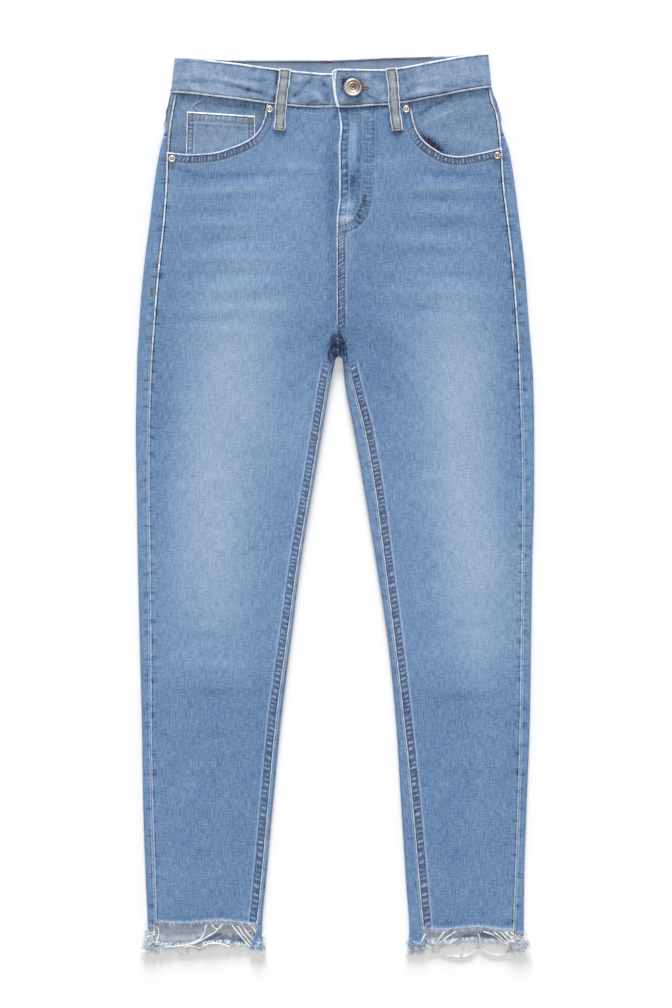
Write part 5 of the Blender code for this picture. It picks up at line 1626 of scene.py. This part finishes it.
# frayed hems: short fuzz along each raw edge, and long threads that hang in loops
longThreads = {
    "frontRight": (
        ((-144.5, 975), (-145.6, 984), (-147.8, 990), (-159, 995.5), (-168, 999), (-185, 1000), (-207, 1001)),
        ((-126.6, 975), (-133.3, 983.5), (-142, 988), (-151, 993.5), (-160, 997)),
        ((-138, 976), (-134, 979), (-132.5, 983), (-127, 977)),
        ((-108.6, 977), (-103, 986), (-95.2, 995), (-88.5, 1003.5)),
        ((-115.4, 976), (-106.4, 987), (-98.6, 996), (-90.7, 1004)),
        ((-103, 977), (-99.7, 985), (-92, 990), (-86, 999)),
        ((-93, 977), (-86.2, 986), (-81.8, 996), (-85, 1005)),
        ((-95.2, 975), (-89.6, 972.5), (-85, 978), (-83, 987), (-79, 990)),
        ((-199.4, 977), (-195, 984), (-198.2, 990), (-200.5, 997)),
        ((-203, 976), (-201, 982), (-205, 990), (-209, 997)),
    ),
    "backRight": (
        ((-209, 1001), (-198, 1004), (-182, 1004), (-168, 1000), (-160, 998), (-151, 1001.5), (-145, 1003)),
        ((-180.5, 999), (-177, 1004), (-174.8, 1009), (-164.6, 1009.5), (-163.6, 1004), (-167, 998)),
        ((-155.8, 1004), (-146.8, 998), (-137.8, 994.5), (-126.6, 996.5), (-117.6, 1000)),
        ((-213, 996), (-216, 1002), (-209, 1006), (-196, 1005)),
        ((-162, 998), (-156, 1003), (-151, 1007), (-148, 1002)),
    ),
    "frontLeft": (
        ((100.5, 986), (98, 991), (95, 997), (90, 1001)),
        ((134.4, 983), (126, 988), (118, 996), (110, 1001)),
        ((123, 983), (116, 991), (112.5, 999), (108.6, 1003)),
        ((166, 983), (176, 984), (184.8, 991), (190.4, 998)),
        ((186, 984), (194, 992), (198, 999), (203, 1004)),
        ((190.5, 983), (199.4, 990), (204, 997), (206, 1003)),
        ((197, 984), (205, 988), (210, 995), (213, 1001)),
        ((178, 984), (188, 990), (194, 999)),
        ((160, 985), (163, 992), (160, 998), (166, 1002)),
    ),
    "backLeft": (
        ((103, 998), (112, 1005), (126, 1010.5), (142, 1012.4), (154, 1009.5), (161, 1000)),
        ((142, 996), (143.5, 1003), (141.6, 1010)),
        ((160, 998), (168, 1006), (180, 1011.5), (192, 1008.5), (202, 1000)),
        ((131, 994), (125, 999), (116, 1003), (109, 1007)),
        ((150, 996), (156, 1003), (152, 1009)),
        ((200, 1000), (207, 1002), (212, 999)),
        ((84, 1004), (92, 1002.5), (100, 1000), (106, 1001)),
    ),
}


# curled fuzz at the corners: x, drop, width, height, count
tufts = {
    "frontRight": ((-89, 979, 4, 5, 40),),
    "backRight": ((-208, 991, 6, 12, 70), (-84, 994, 6, 12, 50), (-196, 1001, 14, 4, 30)),
    "frontLeft": ((100, 985, 5, 4, 24), (206, 986, 8, 6, 40)),
    "backLeft": ((203, 996, 12, 10, 110), (92, 1002, 10, 5, 110)),
}


def hemLine(side, layer):
    # places along a raw edge, on the face that its threads grow from
    if layer == "front":
        shares = np.linspace(0.015, 0.985, 160)
        drop = frontHem[side] + hemWave(side, shares) + hemTatter(shares, "front" + side)
        x = lerp(*frontEdges(side, drop), shares)
        return x, drop, frontHeight(side, x, drop) - 0.3
    row = backHemRows(side, crotchTable(side))[-1]
    flat = slice(stripSteps + arcSteps - 4, -stripSteps - arcSteps + 4)
    x, drop, z = (np.array(values) for values in zip(*row[flat]))
    z = z + hemCurl(side, x, drop) * ease((2.6 - z) / 2)
    at, own = np.linspace(0, 1, 160), np.linspace(0, 1, len(x))
    return np.interp(at, own, x), np.interp(at, own, drop), np.interp(at, own, z) + 0.45


def threadCurve(name, strands, radius, materials):
    # strands: (which material, points), with points as (x, drop, z, thickness), drawn as one mesh
    curve = bpy.data.curves.new(name, "CURVE")
    curve.dimensions = "3D"
    curve.bevel_depth = radius * mm
    curve.bevel_resolution = 1
    curve.resolution_u = 4
    curve.use_fill_caps = True
    for material in materials:
        curve.materials.append(material)
    for look, points in strands:
        spline = curve.splines.new("NURBS")
        spline.points.add(len(points) - 1)
        spline.order_u = min(4, len(points))
        spline.use_endpoint_u = True
        spline.material_index = look
        for spot, (x, drop, z, thick) in zip(spline.points, points):
            spot.co = (x * mm, (length / 2 - drop) * mm, z * mm, 1.0)
            spot.radius = thick
    drawn = addObject(name + "Curve", curve)
    graph = bpy.context.evaluated_depsgraph_get()
    mesh = bpy.data.meshes.new_from_object(drawn.evaluated_get(graph))
    bpy.data.objects.remove(drawn)
    mesh.name = name
    mesh.shade_smooth()
    return addObject(name, mesh)


def underneath(side, x, drop, edge):
    # level of whatever a loose thread rests on: the lifted edge of the back, or the table
    hem = np.interp(x, *edge)
    over = ease((hem + 9 - drop) / 8)
    return 0.45 + over * (cloth + 0.4 + hemCurl(side, x, min(drop, hem)))


fray = {"fuzz": 500, "radius": 0.28, "thick": {"front": 2.4, "back": 3.0}, "loose": 2}


def fuzzStrands(rng, side, line, edge):
    # short ends all along the edge, each bent once as it falls
    spots = np.arange(len(line[0]))
    strands = []
    for _ in range(fray["fuzz"]):
        at = rng.uniform(0, len(spots) - 1.01)
        x, drop, z = (np.interp(at, spots, values) for values in line)
        drop, z = drop - rng.uniform(0.8, 3.0), z + 0.35
        reach = rng.uniform(2.5, 6.0) if rng.random() < 0.92 else rng.uniform(6.0, 9.0)
        lean, bend = rng.uniform(-0.9, 0.9) * reach, rng.uniform(-0.7, 0.7) * reach
        fall = max(underneath(side, x, drop + reach, edge), z - reach * 0.35)
        strands.append((int(rng.random() < 0.8), [
            (x, drop, z, 1.0), (x + bend * 0.5, drop + reach * 0.5, lerp(z, fall, 0.5), 1.0),
            (x + lean, drop + reach, fall, 0.6)]))
    return strands


def tuftStrands(rng, side, layer, edge):
    strands = []
    for middle, low, wide, tall, count in tufts[layer + side.capitalize()]:
        for _ in range(count):
            x, drop = rng.gauss(middle, wide * 0.5), rng.gauss(low, tall * 0.5)
            turn, reach = rng.uniform(0, math.tau), rng.uniform(3, 8)
            z = underneath(side, x, drop, edge) + rng.uniform(0.2, 1.6)
            bend = x + reach * math.cos(turn) * 0.5, drop + reach * math.sin(turn) * 0.5
            tip = x + reach * math.cos(turn + 0.9), drop + reach * math.sin(turn + 0.9)
            look = int(rng.random() < 0.45)
            strands.append((look, [(x, drop, z, 1.2), (*bend, z, 1.2), (*tip, z - 0.1, 0.8)]))
    return strands


def longStrands(rng, side, layer, line, edge):
    # each long thread, with thinner ones that strayed from it
    order = np.argsort(line[0])
    strands = []
    for points in longThreads[layer + side.capitalize()]:
        path = []
        for k, (x, drop) in enumerate(points):
            if layer == "front" and k == 0:
                z = np.interp(x, line[0][order], line[2][order])
            else:
                z = underneath(side, x, drop, edge) + rng.uniform(0.0, 0.5)
            path.append((x, drop, z, fray["thick"][layer]))
        strands.append((0, path))
        for _ in range(fray["loose"]):
            strands.append((0, [(x + rng.uniform(-1.5, 1.5), drop + rng.uniform(-1.2, 1.2), z + 0.2, 1.4)
                                for x, drop, z, _ in path]))
    return strands


def makeFray(side, layer):
    rng = random.Random(side + layer)
    line, (backX, backDrop, _) = hemLine(side, layer), hemLine(side, "back")
    order = np.argsort(backX)
    edge = backX[order], backDrop[order]
    strands = fuzzStrands(rng, side, line, edge) + tuftStrands(rng, side, layer, edge)
    strands += longStrands(rng, side, layer, line, edge)
    piece = threadCurve("fray" + layer.capitalize() + side.capitalize(), strands, fray["radius"],
                        (threads["raw"], threads["fuzz"]))
    return finish(piece, f"hem_fray_{layer}_{side}", ())


def makeStrayThreads():
    # loose ends of sewing thread above the coin pocket
    level = facingHeight("right", -152.0, 58.0) + 0.5
    ends = (((-159, 58.8), (-155.6, 55.2), (-150, 52.4)), ((-159, 58.8), (-156, 61.4), (-152, 64.2)))
    strands = [(0, [(x, drop, level, 1.4) for x, drop in points]) for points in ends]
    finish(threadCurve("strayThreads", strands, 0.22, (threads["fuzz"],)), None, ())


makeStrayThreads()
for side in sides:
    for layer in ("front", "back"):
        makeFray(side, layer)
print("hems frayed")

# what each sheet of cloth was cut to, in metres
cuts = (
    (fronts["right"], (0.212, 0.92), 0.1490, ["zipTape", "back_right"]),
    (fronts["left"], (0.212, 0.93), 0.1425, ["zipTape", "back_left"]),
    (backs["right"], (0.262, 0.91), 0.1810, ["ground"]),
    (backs["left"], (0.262, 0.91), 0.1775, ["ground"]),
    (yokes["right"], (0.205, 0.085), 0.0116, ["ground"]),
    (yokes["left"], (0.205, 0.085), 0.0116, ["ground"]),
    (facings["right"], (0.115, 0.085), 0.0073, ["frontPanelRight"]),
    (facings["left"], (0.110, 0.085), 0.0072, ["frontPanelLeft"]),
    (coinPocket, (0.078, 0.056), 0.0036, ["hipPieceRight"]),
    (backPockets["right"], (0.132, 0.148), 0.0165, ["backPanelRight"]),
    (backPockets["left"], (0.132, 0.148), 0.0165, ["backPanelLeft"]),
    (waistband, (0.735, 0.040), 0.0294, ["frontPanelLeft", "frontPanelRight"]),
    (loops["frontRight"], (0.0126, 0.0693), 0.00087, ["waistbandCloth"]),
    (loops["frontLeft"], (0.0126, 0.0704), 0.00088, ["waistbandCloth"]),
    (loops["sideRight"], (0.0126, 0.0737), 0.00092, ["waistbandCloth"]),
    (loops["sideLeft"], (0.0126, 0.0709), 0.00089, ["waistbandCloth"]),
    (loops["back"], (0.0126, 0.0745), 0.00093, ["waistbandCloth"]),
    (zipTape, (0.021, 0.106), 0.0022, ["frontPanelRight"]),
)

# a pale floor, soft studio light, and a camera straight above
studio = {"floorLevel": -0.4, "floorSize": 60.0, "world": 0.455, "key": 12000.0, "fill": 47.0}
# the height of the camera, the photo's rows, millimetres to a pixel, and the place under the lens
overhead = {"height": 6.0, "rows": 1008, "scale": 1.12, "over": (0.00112, 0.00392)}


def makeFloor():
    bm = bmesh.new()
    bmesh.ops.create_grid(bm, x_segments=1, y_segments=1, size=studio["floorSize"] / 2)
    bmesh.ops.translate(bm, verts=bm.verts, vec=(0, 0, studio["floorLevel"] * mm))
    ground = addObject("ground", meshFrom(bm, "ground"))
    paper, tree, shader = newMaterial("paleGround")
    connect(tree, shader, {"Base Color": (0.96, 0.96, 0.96, 1), "Roughness": 0.95, "Specular IOR Level": 0.1})
    ground.data.materials.append(paper)


def softLight(name, place, size, energy):
    lamp = bpy.data.lights.new(name, "AREA")
    lamp.shape = "DISK"
    lamp.size = size
    lamp.energy = energy
    light = addObject(name, lamp)
    light.location = place
    light.rotation_euler = (-Vector(place)).to_track_quat("-Z", "Y").to_euler()  # aimed at the origin


def makeCamera():
    view = bpy.data.cameras.new("overhead")
    view.sensor_width = 36.0
    view.lens = view.sensor_width * overhead["height"] / (overhead["rows"] * overhead["scale"] * mm)
    view.clip_end = 100.0
    camera = addObject("overhead", view)
    camera.location = (*overhead["over"], overhead["height"])
    bpy.context.scene.camera = camera


makeFloor()
softLight("windowLight", (-0.6, 26.7, 6.2), 6.0, studio["key"])
softLight("overheadFill", (0.3, -0.5, 4.2), 3.0, studio["fill"])
world = bpy.data.worlds.new("studio")
world.use_nodes = True
connect(world.node_tree, world.node_tree.nodes["Background"],
        {"Color": (1, 1, 1, 1), "Strength": studio["world"]})
bpy.context.scene.world = world
bpy.context.scene.view_settings.view_transform = "Standard"
makeCamera()
for piece, flat, area, under in cuts:
    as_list(under)
print("scene ready")
